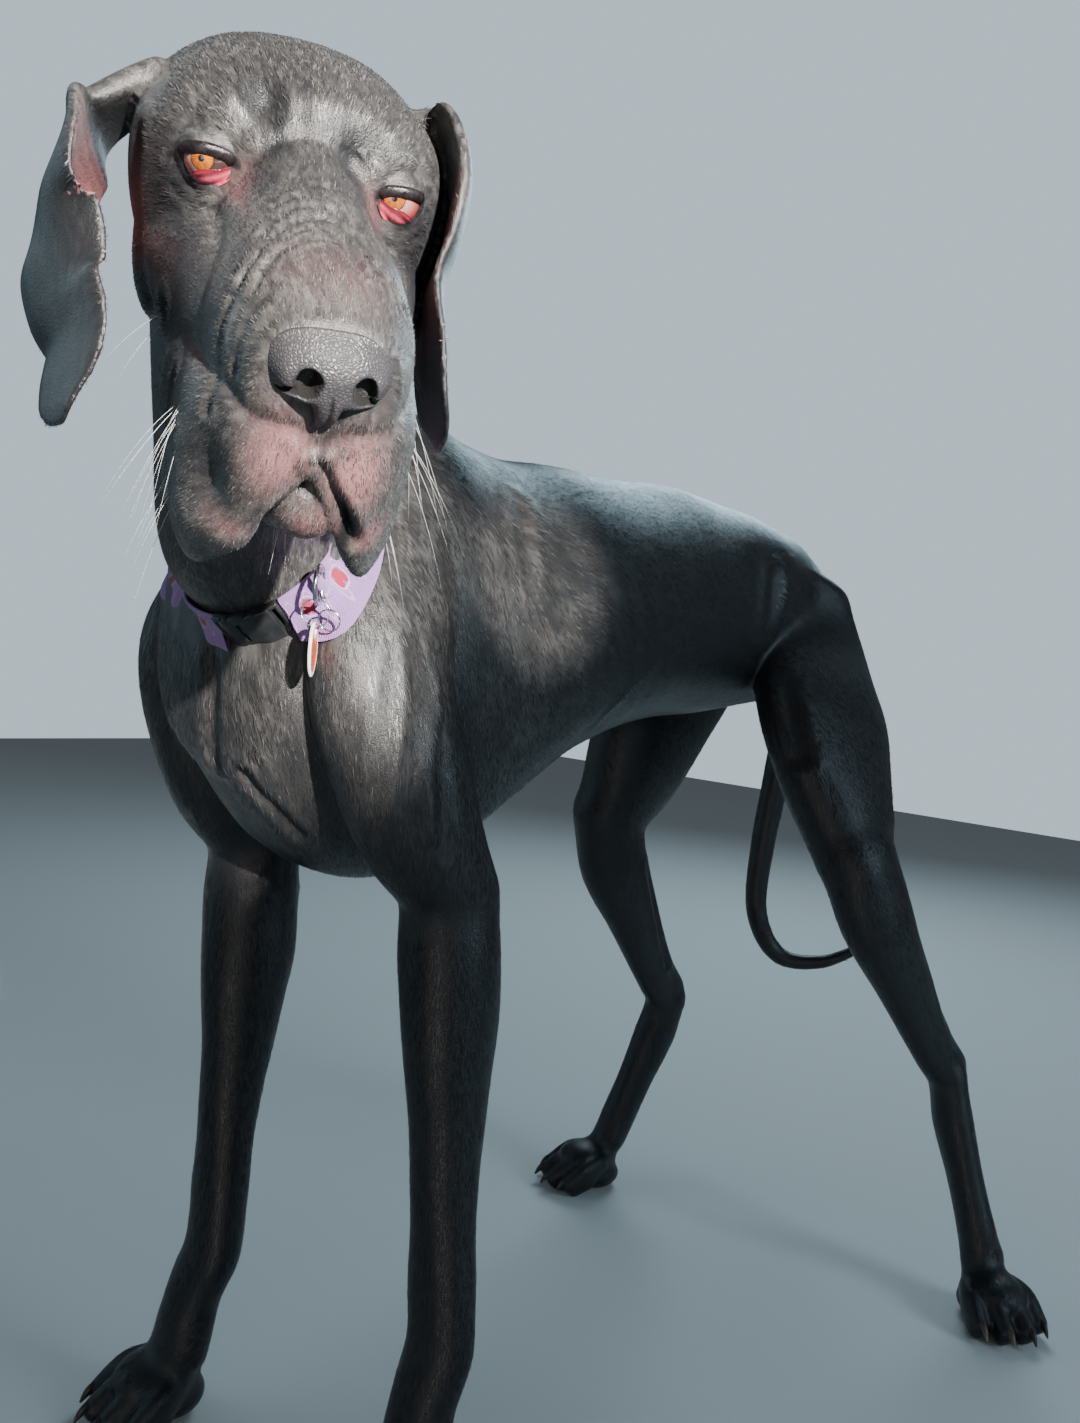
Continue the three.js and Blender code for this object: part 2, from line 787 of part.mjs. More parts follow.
// the disc of the tag, edge on to the viewer, with the hole that a ring runs through
function tagBody(middle) {
  const round = (wide, high, thick, up) => {
    const geometry = new THREE.CylinderGeometry(0.5, 0.5, thick, 20);
    geometry.scale(wide, 1, high);
    const axes = [RING_FACING, RING_BESIDE.clone().negate(), new THREE.Vector3(0, 0, 1)];
    geometry.applyMatrix4(new THREE.Matrix4().makeBasis(...axes));
    geometry.translate(middle.x, middle.y, middle.z + up);
    return solid(geometry);
  };
  const hole = round(TAG.hole * 2, TAG.hole * 2, TAG.thick * 2, TAG.high / 2 - TAG.hole - 2);
  return round(TAG.wide, TAG.high, TAG.thick, 0).subtract(hole);
}

// keeps what lies inside a knife as one piece, and what lies outside it as the rest
function part(whole, knife) {
  return [whole.intersect(knife(0)), whole.subtract(knife(GAP))];
}

let rest;
let piece;

addMesh("ear_left", leftEar().subtract(sidesOfHead(GAP)), COLOURS.coat);
addMesh("ear_right", rightEar().subtract(sidesOfHead(GAP)), COLOURS.coat);

const bodies = [trunkBody(), neckBody(), tailBody(), headBody()];
for (const pose of [POSE.left, POSE.right]) {
  const { thigh, shin, pastern } = hindlegBodies(pose);
  bodies.push(armBody(pose), forearmBody(pose), thigh, shin, pastern);
  bodies.push(pawBody(pose.paw, pose.pawAim, FRONT_PAW));
  bodies.push(pawBody(pose.hindPaw, pose.hindAim, HIND_PAW));
}

// everything stands on the floor's level, and the neck leaves the eyes and jaw free
rest = union(bodies).subtract(block([0, 0, -50], [1600, 1600, 100]));
rest = rest.subtract(jawBody(GAP));

// each knife as a centre, full sizes, and where needed the directions across and up
const knives = [
  ["paw_front_left", [146, -340, 22], [150, 170, 76]],
  ["paw_front_right", [-88, -370, 22], [150, 190, 76]],
  ["paw_hind_left", [350, 280, 22], [170, 170, 76]],
  ["paw_hind_right", [-130, 200, 22], [170, 170, 76]],
  ["forearm_left", [136, -290, 220], [150, 190, 318]],
  ["forearm_right", [-88, -310, 220], [130, 190, 318]],
  ["hock_left", [288, 330, 130], [150, 150, 138]],
  ["hock_right", [-92, 280, 130], [120, 180, 138]],
  ["shin_left", [220, 260, 310], [220, 300, 220]],
  ["shin_right", [-92, 230, 310], [110, 320, 220]],
  ["tail_tip", [20, 470, 265], [180, 160, 130]],
  ["tail_middle", [-20, 470, 375], [90, 140, 90]],
  ["tail_root", [-20, 477, 522], [84, 126, 204]],
  ["head", [263.5, -559.5, 782.5], [260, 270, 260], HEAD_LEFT.toArray(), [0.847, -0.462, -0.261]],
  ["neck", inCollar(0, 0, 150), [360, 360, 300], COLLAR_ACROSS.toArray(), COLLAR_AXIS],
  ["shoulder_left", [132, -332, 520], [136, 236, 290]],
  ["shoulder_right", [-132, -332, 520], [136, 236, 290]],
  ["thigh_left", [150, 320, 560], [216, 330, 290]],
  ["thigh_right", [-150, 320, 560], [216, 330, 290]],
  ["chest", [0, -315, 600], [400, 330, 600]],
  ["rump", [0, 330, 600], [400, 300, 500]],
];
for (const [name, at, sizes, across, up] of knives) {
  [piece, rest] = part(rest, (grow) => block(at, sizes, grow, across, up));
  addMesh(name, piece, COLOURS.coat);
}
addMesh("belly", rest, COLOURS.coat);
addMesh("nose", nosePad(), COLOURS.nose, 0.35);
addMesh("lower_jaw", jawBody(), COLOURS.coat);
for (const [name, out] of [["eye_left", 1], ["eye_right", -1]]) {
  addMesh(name, ball(inHead(out * EYE_SIDE, EYE_FORWARD, 0), EYE_RADIUS, 14), COLOURS.eye, 0.1);
}

// the collar in three lengths of webbing, its buckle, and what hangs from it
const nape = (grow) => collarBlock(0, 160, 0, [400, 200, 60], grow);
const leftSide = (grow) => collarBlock(230, -100, 0, [400, 320, 60], grow);
[piece, rest] = part(webbingBody().subtract(buckleBody(GAP)), nape);
addMesh("webbing_nape", piece, COLOURS.webbing);
[piece, rest] = part(rest, leftSide);
addMesh("webbing_left", piece, COLOURS.webbing);
addMesh("webbing_right", rest, COLOURS.webbing);
addMesh("buckle", buckleBody(), COLOURS.plastic, 0.35);
addMesh("keeper", keeperBody(), COLOURS.webbing);
addMesh("d_ring", dRingBody(), COLOURS.metal, 0.25, 1);

const upright = new THREE.Vector3(0, 0, 1);
const largeDrop = D_RING.radius + LARGE_RING.radius - D_RING.wire - LARGE_RING.wire - GAP;
const largeAt = byRing(-0.6, 0, -largeDrop);
addMesh("split_ring_large", ringBody(LARGE_RING, largeAt, RING_BESIDE, upright), COLOURS.metal, 0.25, 1);

// the small ring lies across the large one, turned out of its plane about the line between them
const smallLine = RING_BESIDE.clone().multiplyScalar(0.919).addScaledVector(upright, -0.395);
const smallCross = RING_BESIDE.clone().multiplyScalar(0.395).addScaledVector(upright, 0.919);
const smallTurn = THREE.MathUtils.degToRad(22);
smallCross.multiplyScalar(Math.cos(smallTurn));
smallCross.addScaledVector(RING_FACING, Math.sin(smallTurn));
const smallAt = largeAt.clone().addScaledVector(smallLine, 9.4);
addMesh("split_ring_small", ringBody(SMALL_RING, smallAt, smallLine, smallCross), COLOURS.metal, 0.25, 1);

const wireTop = -largeDrop - LARGE_RING.radius + LARGE_RING.wire + GAP;
const tagAt = byRing(-0.6, 0, wireTop + 2 - TAG.high / 2);
addMesh("tag", tagBody(tagAt), COLOURS.tag, 0.4);

group.position.set(...ORIGIN);

export default group;
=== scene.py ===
import math

import bpy
import numpy as np
from mathutils import Matrix, Vector


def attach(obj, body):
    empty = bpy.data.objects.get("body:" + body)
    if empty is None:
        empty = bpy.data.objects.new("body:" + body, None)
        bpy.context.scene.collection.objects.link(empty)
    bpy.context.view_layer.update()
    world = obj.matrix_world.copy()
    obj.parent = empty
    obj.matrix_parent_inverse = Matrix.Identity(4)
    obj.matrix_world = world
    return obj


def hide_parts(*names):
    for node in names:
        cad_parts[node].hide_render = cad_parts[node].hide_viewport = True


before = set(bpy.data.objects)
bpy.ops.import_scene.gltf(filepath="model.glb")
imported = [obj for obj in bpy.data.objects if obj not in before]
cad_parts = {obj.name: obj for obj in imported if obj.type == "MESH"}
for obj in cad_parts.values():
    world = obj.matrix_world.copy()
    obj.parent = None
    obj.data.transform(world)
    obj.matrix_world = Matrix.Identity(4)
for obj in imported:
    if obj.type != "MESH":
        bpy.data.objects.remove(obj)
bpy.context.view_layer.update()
print("dane: frame loaded")

# Shapes are worked out in millimetres, the dog facing -Y with its left side at +X,
# and moved by originShift when they become meshes in metres.
originShift = np.array([-112.9, 59.0, 0.0])


def toMetres(points):
    return (np.asarray(points, float) + originShift) / 1000.0


def unit(vectors):
    vectors = np.asarray(vectors, float)
    return vectors / np.maximum(np.linalg.norm(vectors, axis=-1, keepdims=True), 1e-12)


def linked(name, data):
    made = bpy.data.objects.new(name, data)
    bpy.context.scene.collection.objects.link(made)
    return made


# camera, floor and light

cameraSetup = {
    "at": (682.9, -892.9, 610.2),
    "right": (0.76505, 0.63775, 0.08925),
    "up": (-0.10253, -0.0162, 0.9946),
    "forward": (-0.63576, 0.77007, -0.053),
    "lens": 30.62,
}


def addCamera(setup):
    data = bpy.data.cameras.new("camera")
    data.lens = setup["lens"]
    data.sensor_width = 36.0
    data.clip_start = 0.01
    data.clip_end = 50.0
    camera = linked("camera", data)
    turn = Matrix((setup["right"], setup["up"], -Vector(setup["forward"]))).transposed()
    camera.matrix_world = Matrix.Translation(Vector(toMetres(setup["at"]))) @ turn.to_4x4()
    bpy.context.scene.camera = camera


lampSetup = {
    "sun": {"kind": "SPOT", "at": (2.75, -1.35, 1.46), "aim": (0.06, -0.55, 0.72), "size": 0.04,
            "power": 2200.0, "colour": (1.0, 0.95, 0.88), "angle": 10.2, "soft": 0.14},
    "patch": {"kind": "SPOT", "at": (2.6, -1.4, 1.5), "aim": (0.0, -0.15, 0.67), "size": 0.02,
              "power": 1100.0, "colour": (1.0, 0.94, 0.86), "angle": 2.7, "soft": 0.12},
    "bounce": {"kind": "AREA", "at": (1.0, -1.9, 0.25), "aim": (0.1, -0.5, 0.7), "size": 0.9, "power": 7.0,
               "colour": (1.0, 0.93, 0.86)},
    "fill": {"kind": "AREA", "at": (-1.9, -1.5, 1.3), "aim": (0.0, -0.2, 0.5), "size": 1.6, "power": 7.0,
             "colour": (0.50, 0.84, 1.0)},
    "side": {"kind": "AREA", "at": (2.6, 0.6, 1.6), "aim": (0.0, 0.1, 0.5), "size": 1.0, "power": 26.0,
             "colour": (0.60, 0.84, 1.0)},
    "rim": {"kind": "AREA", "at": (-0.9, 2.1, 1.9), "aim": (0.0, 0.2, 0.6), "size": 1.2, "power": 28.0,
            "colour": (0.62, 0.88, 1.0)},
}
skySetup = {"colour": (0.70, 0.83, 0.94, 1.0), "strength": 0.14, "backdrop": 0.85}


def addLamps(setup):
    for name, look in setup.items():
        data = bpy.data.lights.new(name, look["kind"])
        if look["kind"] == "SPOT":
            data.spot_size = math.radians(look["angle"])
            data.spot_blend = look["soft"]
            data.shadow_soft_size = look["size"]
        else:
            data.size = look["size"]
        data.energy = look["power"]
        data.color = look["colour"]
        lamp = linked(name, data)
        lamp.location = look["at"]
        lamp.rotation_mode = "QUATERNION"
        lamp.rotation_quaternion = (Vector(look["aim"]) - Vector(look["at"])).to_track_quat("-Z", "Y")


def addSky(setup):
    # the backdrop is seen brighter than it lights
    world = bpy.data.worlds.new("studio")
    world.use_nodes = True
    nodes, links = world.node_tree.nodes, world.node_tree.links
    sky = nodes["Background"]
    sky.inputs["Color"].default_value = setup["colour"]
    seen = nodes.new("ShaderNodeLightPath")
    strength = nodes.new("ShaderNodeMapRange")
    strength.inputs["To Min"].default_value = setup["strength"]
    strength.inputs["To Max"].default_value = setup["backdrop"]
    links.new(seen.outputs["Is Camera Ray"], strength.inputs["Value"])
    links.new(strength.outputs["Result"], sky.inputs["Strength"])
    bpy.context.scene.world = world


addCamera(cameraSetup)
addLamps(lampSetup)
addSky(skySetup)

# meshes from arrays


def angles(count):
    # a full turn in equal steps
    return np.arange(count) * 2 * math.pi / count


def squared(wave, power):
    # a sine or cosine raised to a power with its sign kept, which squares or sharpens an oval
    return np.sign(wave) * np.abs(wave) ** power


def newMesh(name, points, faces):
    # points in millimetres and a list of index arrays, one for each number of corners
    mesh = bpy.data.meshes.new(name)
    corners = [row for block in faces for row in np.asarray(block).tolist()]
    mesh.from_pydata(toMetres(points).tolist(), [], corners)
    mesh.update()
    mesh.polygons.foreach_set("use_smooth", np.ones(len(mesh.polygons), bool))
    return mesh


def addPiece(name, mesh, material, replaced=()):
    piece = linked(name, mesh)
    mesh.materials.append(material)
    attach(piece, "root")
    if replaced:
        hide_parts(*replaced)
    return piece


def ringFaces(rows, columns):
    # four corners for each cell between rings of points, facing outwards on a tube from ovalTube
    r, c = np.meshgrid(np.arange(rows - 1) * columns, np.arange(columns), indexing="ij")
    d = (c + 1) % columns
    return np.stack([r + c, r + columns + c, r + columns + d, r + d], -1).reshape(-1, 4)


def closedTube(grid):
    # A grid of rings whose first and last rings have shrunk to a point: each becomes one
    # vertex with a fan of triangles.
    rows, columns, width = grid.shape
    points = np.concatenate([grid[:1, 0], grid[1:-1].reshape(-1, width), grid[-1:, 0]])
    quads = ringFaces(rows - 2, columns) + 1
    c = np.arange(columns)
    d = (c + 1) % columns
    first = np.stack([np.zeros(columns, int), 1 + c, 1 + d], -1)
    base = 1 + (rows - 3) * columns
    last = np.stack([np.full(columns, len(points) - 1), base + d, base + c], -1)
    return points, quads, np.concatenate([first, last])


def closedRing(grid):
    # a grid of rings that comes round to its own start, as a torus does
    rows, columns, width = grid.shape
    quads = ringFaces(rows + 1, columns) % (rows * columns)
    return grid.reshape(-1, width), quads, np.zeros((0, 3), int)


def capped(grid):
    # a tube's two open ends closed by their middles
    return np.concatenate([grid[:1] * 0 + grid[:1].mean(1, keepdims=True), grid,
                           grid[-1:] * 0 + grid[-1:].mean(1, keepdims=True)])


def facedOutward(points, quads, triangles):
    # turns the faces over where the volume that they enclose comes out negative
    volume = 0.0
    for corners in (quads[:, :3], quads[:, [0, 2, 3]], triangles):
        a, b, c = (points[corners[:, k]] - points[0] for k in range(3))
        volume += (a * np.cross(b, c)).sum()
    return (quads, triangles) if volume > 0 else (quads[:, ::-1], triangles[:, ::-1])


def joined(forms):
    # several closed forms as one array of points with their faces
    allPoints, allQuads, allTriangles, start = [], [], [], 0
    for points, quads, triangles in forms:
        quads, triangles = facedOutward(points, quads, triangles)
        allPoints.append(points)
        allQuads.append(quads + start)
        allTriangles.append(triangles + start)
        start += len(points)
    return np.concatenate(allPoints), [np.concatenate(allQuads), np.concatenate(allTriangles)]


def setColours(mesh, name, colours):
    layer = mesh.color_attributes.new(name, "FLOAT_COLOR", "POINT")
    layer.data.foreach_set("color", np.asarray(colours, np.float32).ravel())


def formedPiece(name, forms, material, slot, replaced=(), **layers):
    # closed forms joined as one piece; each layer holds the colours of the forms' points
    mesh = newMesh(name, *joined(forms))
    for layer, colours in layers.items():
        setColours(mesh, layer, np.concatenate(colours))
    return addPiece(name, mesh, material, replaced)


def curveThrough(values, t):
    # Catmull-Rom curve through every value: half of
    # 2b + (c - a) f + (2a - 5b + 4c - d) f^2 + (3b - a - 3c + d) f^3
    values = np.asarray(values, float)
    flat = values.ndim == 1
    values = values[:, None] if flat else values
    last = len(values) - 1
    place = np.clip(np.asarray(t, float), 0.0, 1.0) * last
    i = np.minimum(place.astype(int), last - 1)
    f = (place - i)[..., None]
    a, b = values[np.maximum(i - 1, 0)], values[i]
    c, d = values[i + 1], values[np.minimum(i + 2, last)]
    made = 2 * b + (c - a) * f + (2 * a - 5 * b + 4 * c - d) * f**2 + (3 * b - a - 3 * c + d) * f**3
    made = 0.5 * made
    return made[..., 0] if flat else made


def ovalTube(stations, toward, axis=None, around=48, rings=56, capRings=8, capStart=10, capEnd=10, grow=0):
    # Ovals carried along a curve: centre(t) + side(t) wide |cos|^p + face(t) deep |sin|^p,
    # with ends domed as a quarter of an ellipse. Stations are (centre, half width, half
    # depth towards and away from "toward", squareness).
    at = np.array([s[0] for s in stations], float)
    sizes = np.array([(*s[1:4], s[4] if len(s) > 4 else 2.0) for s in stations], float)
    ring = np.arange(rings + 2 * capRings + 1)
    t = np.clip((ring - capRings) / rings, 0.0, 1.0)
    inCap = np.maximum(np.maximum(capRings - ring, ring - rings - capRings), 0) / capRings
    lift = inCap * math.pi / 2
    shrink = np.where(inCap >= 1, 0.0, np.cos(lift))[:, None]
    reach = np.where(t <= 0, -(capStart + grow), capEnd + grow) * np.sin(lift)
    if axis is None:
        run = unit(curveThrough(at, t + 0.01) - curveThrough(at, t - 0.01))
    else:
        run = np.broadcast_to(unit(axis), (len(t), 3))
    face = np.broadcast_to(np.asarray(toward, float), (len(t), 3))
    face = unit(face - run * (face * run).sum(-1, keepdims=True))
    side = np.cross(run, face)
    size = curveThrough(sizes, t)
    angle = angles(around)
    c, s = np.cos(angle)[None], np.sin(angle)[None]
    power = 2.0 / size[:, 3:4]
    wide = squared(c, power) * (size[:, :1] + grow) * shrink
    deep = np.where(s > 0, size[:, 1:2], size[:, 2:3]) + grow
    deep = squared(s, power) * deep * shrink
    centre = curveThrough(at, t) + run * reach[:, None]
    return centre[:, None] + side[:, None] * wide[..., None] + face[:, None] * deep[..., None]


def egg(at, sizes, axes=((1, 0, 0), (0, 1, 0), (0, 0, 1)), around=32):
    # a ball with three half sizes along three directions
    rows = around // 2
    polar = np.linspace(0.0, math.pi, rows + 1)[:, None]
    turn = angles(around)[None]
    across = np.sin(polar)
    ball = np.stack([across * np.cos(turn), np.cos(polar) + 0 * turn, across * np.sin(turn)], -1)
    ball[0, :], ball[-1, :] = (0, 1, 0), (0, -1, 0)
    return np.asarray(at, float) + (ball * np.asarray(sizes, float)) @ np.asarray(axes, float)


def mixed(a, b, t):
    # part way from a to b
    return np.asarray(a, float) * (1 - t) + np.asarray(b, float) * t


def moved(a, x, y, z):
    return np.asarray(a, float) + (x, y, z)


# the body's forms

pose = {
    "left": {
        "out": 1, "scapula": (46, -262, 722), "shoulder": (94, -374, 590), "elbow": (110, -274, 400),
        "olecranon": (112, -248, 388), "wrist": (148, -294, 152), "knuckle": (150, -314, 46),
        "paw": (150, -314), "pawAim": (0.05, -1, 0), "hip": (72, 326, 640), "knee": (190, 196, 432),
        "hock": (256, 322, 206), "heel": (316, 308, 50), "hindPaw": (314, 309), "hindAim": (0.79, -0.61, 0),
    },
    "right": {
        "out": -1, "scapula": (-46, -262, 722), "shoulder": (-94, -374, 590), "elbow": (-104, -282, 404),
        "olecranon": (-102, -254, 394), "wrist": (-64, -326, 150), "knuckle": (-70, -348, 48),
        "paw": (-74, -338), "pawAim": (-0.15, -0.99, 0), "hip": (-78, 326, 640), "knee": (-92, 158, 440),
        "hock": (-76, 304, 204), "heel": (-100, 244, 50), "hindPaw": (-98, 242),
        "hindAim": (-0.55, -0.83, 0),
    },
}

coatDepth = 1.6  # the skin lies this far inside the solids
pawSize = 0.88

collarAt = np.array([19.0, -381.0, 673.5])
collarAlong = unit([0.125, -0.815, 0.565])
collarAcross = unit([0.815, 0.125, 0.0])
collarUp = np.cross(collarAlong, collarAcross)

# y, top, bottom, height of the widest place, half width
trunkStations = [
    (-398, 690, 505, 605, 78), (-350, 748, 450, 602, 100), (-285, 778, 424, 598, 110),
    (-225, 766, 434, 600, 114), (-170, 760, 466, 612, 116), (-100, 766, 506, 632, 114),
    (-10, 769, 534, 650, 104), (75, 777, 548, 662, 92), (160, 774, 554, 668, 84),
    (245, 768, 564, 676, 84), (330, 744, 574, 670, 78), (395, 704, 590, 650, 58),
]


def trunkTube(grow, used=12, rings=120):
    # the barrel along y: upright ovals through the first stations, all of them or only the chest's
    stations = [((0, y, middle), side, top - middle, middle - bottom, 2.1)
                for y, top, bottom, middle, side in trunkStations[:used]]
    end = 24 if used == 12 else 4
    return ovalTube(stations, (0, 0, 1), (0, 1, 0), 96, rings, capStart=26, capEnd=end, grow=grow)


def neckTube(grow):
    # ovals from within the chest to the back of the skull, all square to the neck's own line
    stations = [
        ((0, -250, 650), 92, 110, 130), ((2, -318, 676), 88, 110, 122), ((10, -386, 702), 74, 106, 108),
        ((76, -436, 766), 80, 88, 94), ((146, -496, 832), 74, 70, 74),
    ]
    toward, axis = (-0.45, 0.39, 0.8), (0.142, -0.691, 0.707)
    return ovalTube(stations, toward, axis, 96, 90, capStart=30, capEnd=12, grow=grow)


def tailTube(grow):
    # round rings down the tail and round its hook
    stations = [
        ((-6, 380, 676), 34), ((-12, 420, 640), 27), ((-22, 440, 570), 21), ((-32, 440, 480), 18),
        ((-38, 432, 390), 16), ((-36, 430, 310), 14), ((-10, 446, 260), 12), ((36, 470, 258), 9.5),
        ((76, 494, 282), 7),
    ]
    stations = [(at, r, r, r) for at, r in stations]
    return ovalTube(stations, (1, 0, 0), around=40, rings=110, capEnd=8, grow=grow)


def armTube(side, grow):
    # shoulder blade and upper arm: ovals through the three joints' places
    out, scapula, shoulder, elbow = (side[k] for k in ("out", "scapula", "shoulder", "elbow"))
    stations = [
        (scapula, 28, 44, 46), (mixed(scapula, shoulder, 0.5), 36, 46, 62),
        (moved(shoulder, 0, 16, 0), 36, 46, 70),
        (moved(mixed(shoulder, elbow, 0.5), out * 2, 2, 0), 39, 46, 56),
        (moved(elbow, 0, 2, 34), 33, 38, 32),
    ]
    return ovalTube(stations, (0, -1, 0.3), around=64, rings=60, capStart=14, capEnd=34, grow=grow)


def forearmTubes(side, grow):
    # one limb from elbow to knuckle, with a ball for the elbow's point and one for the wrist's pad
    out, elbow, wrist, knuckle = side["out"], side["elbow"], side["wrist"], side["knuckle"]
    shaft = [(0.02, 38, 43, 37), (0.2, 34, 39, 42), (0.36, 29.5, 34, 37), (0.5, 27, 28, 32),
             (0.65, 25.5, 25, 26), (0.8, 25.5, 22, 23), (0.95, 28, 21.5, 24), (1.08, 27.5, 21, 23)]
    stations = [(moved(elbow, -out * 4, 0, 40), 34, 40, 32)]
    stations += [(mixed(elbow, wrist, t), *sizes) for t, *sizes in shaft]
    stations += [(mixed(wrist, knuckle, 0.55), 26, 21, 21), (knuckle, 30, 21, 24)]
    limb = ovalTube(stations, side["pawAim"], around=56, rings=110, capStart=22, capEnd=10, grow=grow)
    point = egg(side["olecranon"], [18 + grow] * 3)
    pad = egg(moved(wrist, 0, 22, -14), [9 + grow] * 3)
    return [limb, point, pad]


def hindTubes(side, grow):
    # thigh, shin and pastern, each a run of ovals between its joints
    out, hip, knee, hock, heel = (side[k] for k in ("out", "hip", "knee", "hock", "heel"))
    thigh = [
        (moved(hip, -out * 12, -4, 36), 42, 84, 30), (moved(hip, -out * 4, -2, -16), 48, 108, 56),
        (moved(mixed(hip, knee, 0.42), -out * 6, -6, -4), 50, 106, 74),
        (moved(mixed(hip, knee, 0.75), -out * 8, 2, 0), 44, 84, 72),
        (moved(knee, -out * 6, 10, -4), 35, 46, 50),
    ]
    shin = [
        (moved(knee, -out * 6, 10, 10), 35, 44, 50), (mixed(knee, hock, 0.22), 33, 48, 46),
        (mixed(knee, hock, 0.5), 25, 38, 36), (mixed(knee, hock, 0.78), 19, 28, 32),
        (moved(hock, 0, 4, 8), 20, 27, 32),
    ]
    pastern = [
        (moved(hock, 0, 2, 12), 19, 25, 29), (mixed(hock, heel, 0.2), 20, 23, 29),
        (mixed(hock, heel, 0.55), 18, 19, 25), (mixed(hock, heel, 0.85), 20, 19, 24), (heel, 26, 19, 24),
    ]
    axis = np.subtract(knee, hip)
    return [
        ovalTube(thigh, (0, -1, 0), axis=axis, around=72, rings=60, capStart=30, capEnd=34, grow=grow),
        ovalTube(shin, (0, -1, -0.5), around=56, rings=60, capStart=30, capEnd=12, grow=grow),
        ovalTube(pastern, side["hindAim"], around=48, rings=50, capStart=20, capEnd=10, grow=grow),
    ]


toePlaces = [(58, -34), (72, -12), (72, 12), (58, 34)]  # ahead and across of each toe's tip


def pawSpot(root, aim, ahead, across, height):
    # a place in a paw's own frame: ahead and across from its root, and height over the floor
    forward = unit(aim)
    side = np.array([-forward[1], forward[0], 0.0])
    return np.array([*root, 0.0]) + pawSize * (forward * ahead + side * across + np.array([0, 0, height]))


def pawTubes(root, aim, grow):
    # two balls for the pad and the arch of the foot, and a bent oval for each toe
    forward = unit(aim)
    axes = np.array([forward, [-forward[1], forward[0], 0.0], [0, 0, 1]])
    k = pawSize
    tubes = [
        egg(pawSpot(root, aim, 12, 0, 17), (32 * k + grow, 30 * k + grow, 21 * k + grow), axes),
        egg(pawSpot(root, aim, 24, 0, 36), (40 * k + grow, 33 * k + grow, 22 * k + grow), axes),
    ]
    for ahead, across in toePlaces:
        toe = [
            (pawSpot(root, aim, 14, across * 0.7, 37), 11 * k, 14 * k, 16 * k),
            (pawSpot(root, aim, ahead * 0.62, across * 0.95, 32), 12 * k, 13 * k, 27 * k),
            (pawSpot(root, aim, ahead, across * 1.04, 15), 11 * k, 12 * k, 20 * k),
        ]
        tubes.append(ovalTube(toe, (0, 0, 1), around=28, rings=24, capStart=8, capEnd=9, grow=grow))
    return tubes


# the head's forms, in the head's own frame: left, forward and up of the eyes' middle

headAt = np.array([219.3, -535.5, 815.1])
headAxes = np.array([[0.4802, 0.8771, 0.007], [0.6719, -0.3628, -0.6457], [0.5638, -0.3148, 0.7635]])
headScale = 0.98
eyeSide, eyeForward, eyeRadius = 43.5, -1.0, 12.0


def inHead(places):
    # places in the head's own frame as points of the model
    return headAt + (np.asarray(places, float) * headScale) @ headAxes


def ofHead(points):
    # the other way: left, forward and up of points given in the model's frame
    return ((np.asarray(points, float) - headAt) @ np.linalg.inv(headAxes)) / headScale


# forward, top, bottom, height of the widest place, half width, squareness
skullStations = [
    (-112, 20, -58, -10, 46, 2.2), (-88, 36, -84, -14, 70, 2.2), (-54, 43, -98, -18, 79, 2.2),
    (-26, 43, -104, -22, 76, 2.2), (-4, 39, -104, -30, 65, 2.2), (6, 31, -98, -38, 51, 2.2),
]
muzzleStations = [
    (-14, 30, -98, -42, 40, 2.2), (12, 24, -100, -46, 44, 2.0), (36, 17, -100, -46, 46, 2.1),
    (62, 14, -98, -46, 47, 2.3), (90, 12, -94, -44, 46, 2.5), (116, 9, -84, -38, 42, 2.5),
    (137, 3, -70, -32, 34, 2.4),
]
jawStations = [
    (6, -66, -112, -92, 32, 2.2), (40, -70, -113, -92, 30, 2.2), (74, -76, -116, -96, 27, 2.2),
    (104, -80, -118, -99, 24, 2.2), (124, -80, -114, -97, 18, 2.2),
]
# side, forward, up, half thickness, above, below
flewStations = [
    (8, 142, -50, 9, 14, 20), (25, 135, -65, 13, 30, 28), (38, 113, -81, 14.5, 40, 50),
    (43, 84, -93, 13.5, 46, 57), (45, 52, -88, 13, 40, 42), (45, 22, -74, 12, 30, 26),
]

cheekStations = [
    (50, -34, -44, 22, 26, 38), (45, 0, -50, 22, 28, 42), (41, 28, -54, 19, 40, 44),
    (36, 58, -58, 17, 44, 44), (30, 88, -60, 15, 40, 38), (24, 108, -58, 13, 34, 32),
]


def headTube(stations, around, rings, start, end, grow):
    # upright ovals along the head's own forward line
    made = [(inHead((0, forward, middle)), side * headScale, (top - middle) * headScale,
             (middle - bottom) * headScale, square)
            for forward, top, bottom, middle, side, square in stations]
    return ovalTube(made, headAxes[2], headAxes[1], around, rings, capStart=start, capEnd=end, grow=grow)


def sideTube(stations, out, rings, start, end, grow):
    # a flew, or the cheek that fills the valley above it, on the side that "out" gives
    made = [(inHead((out * side, forward, up)), thick * headScale, above * headScale, below * headScale)
            for side, forward, up, thick, above, below in stations]
    return ovalTube(made, headAxes[2], rings=rings, capStart=start, capEnd=end, grow=grow)


def headEgg(place, sizes, grow, around=36):
    return egg(inHead(place), np.asarray(sizes, float) + grow, headAxes, around)


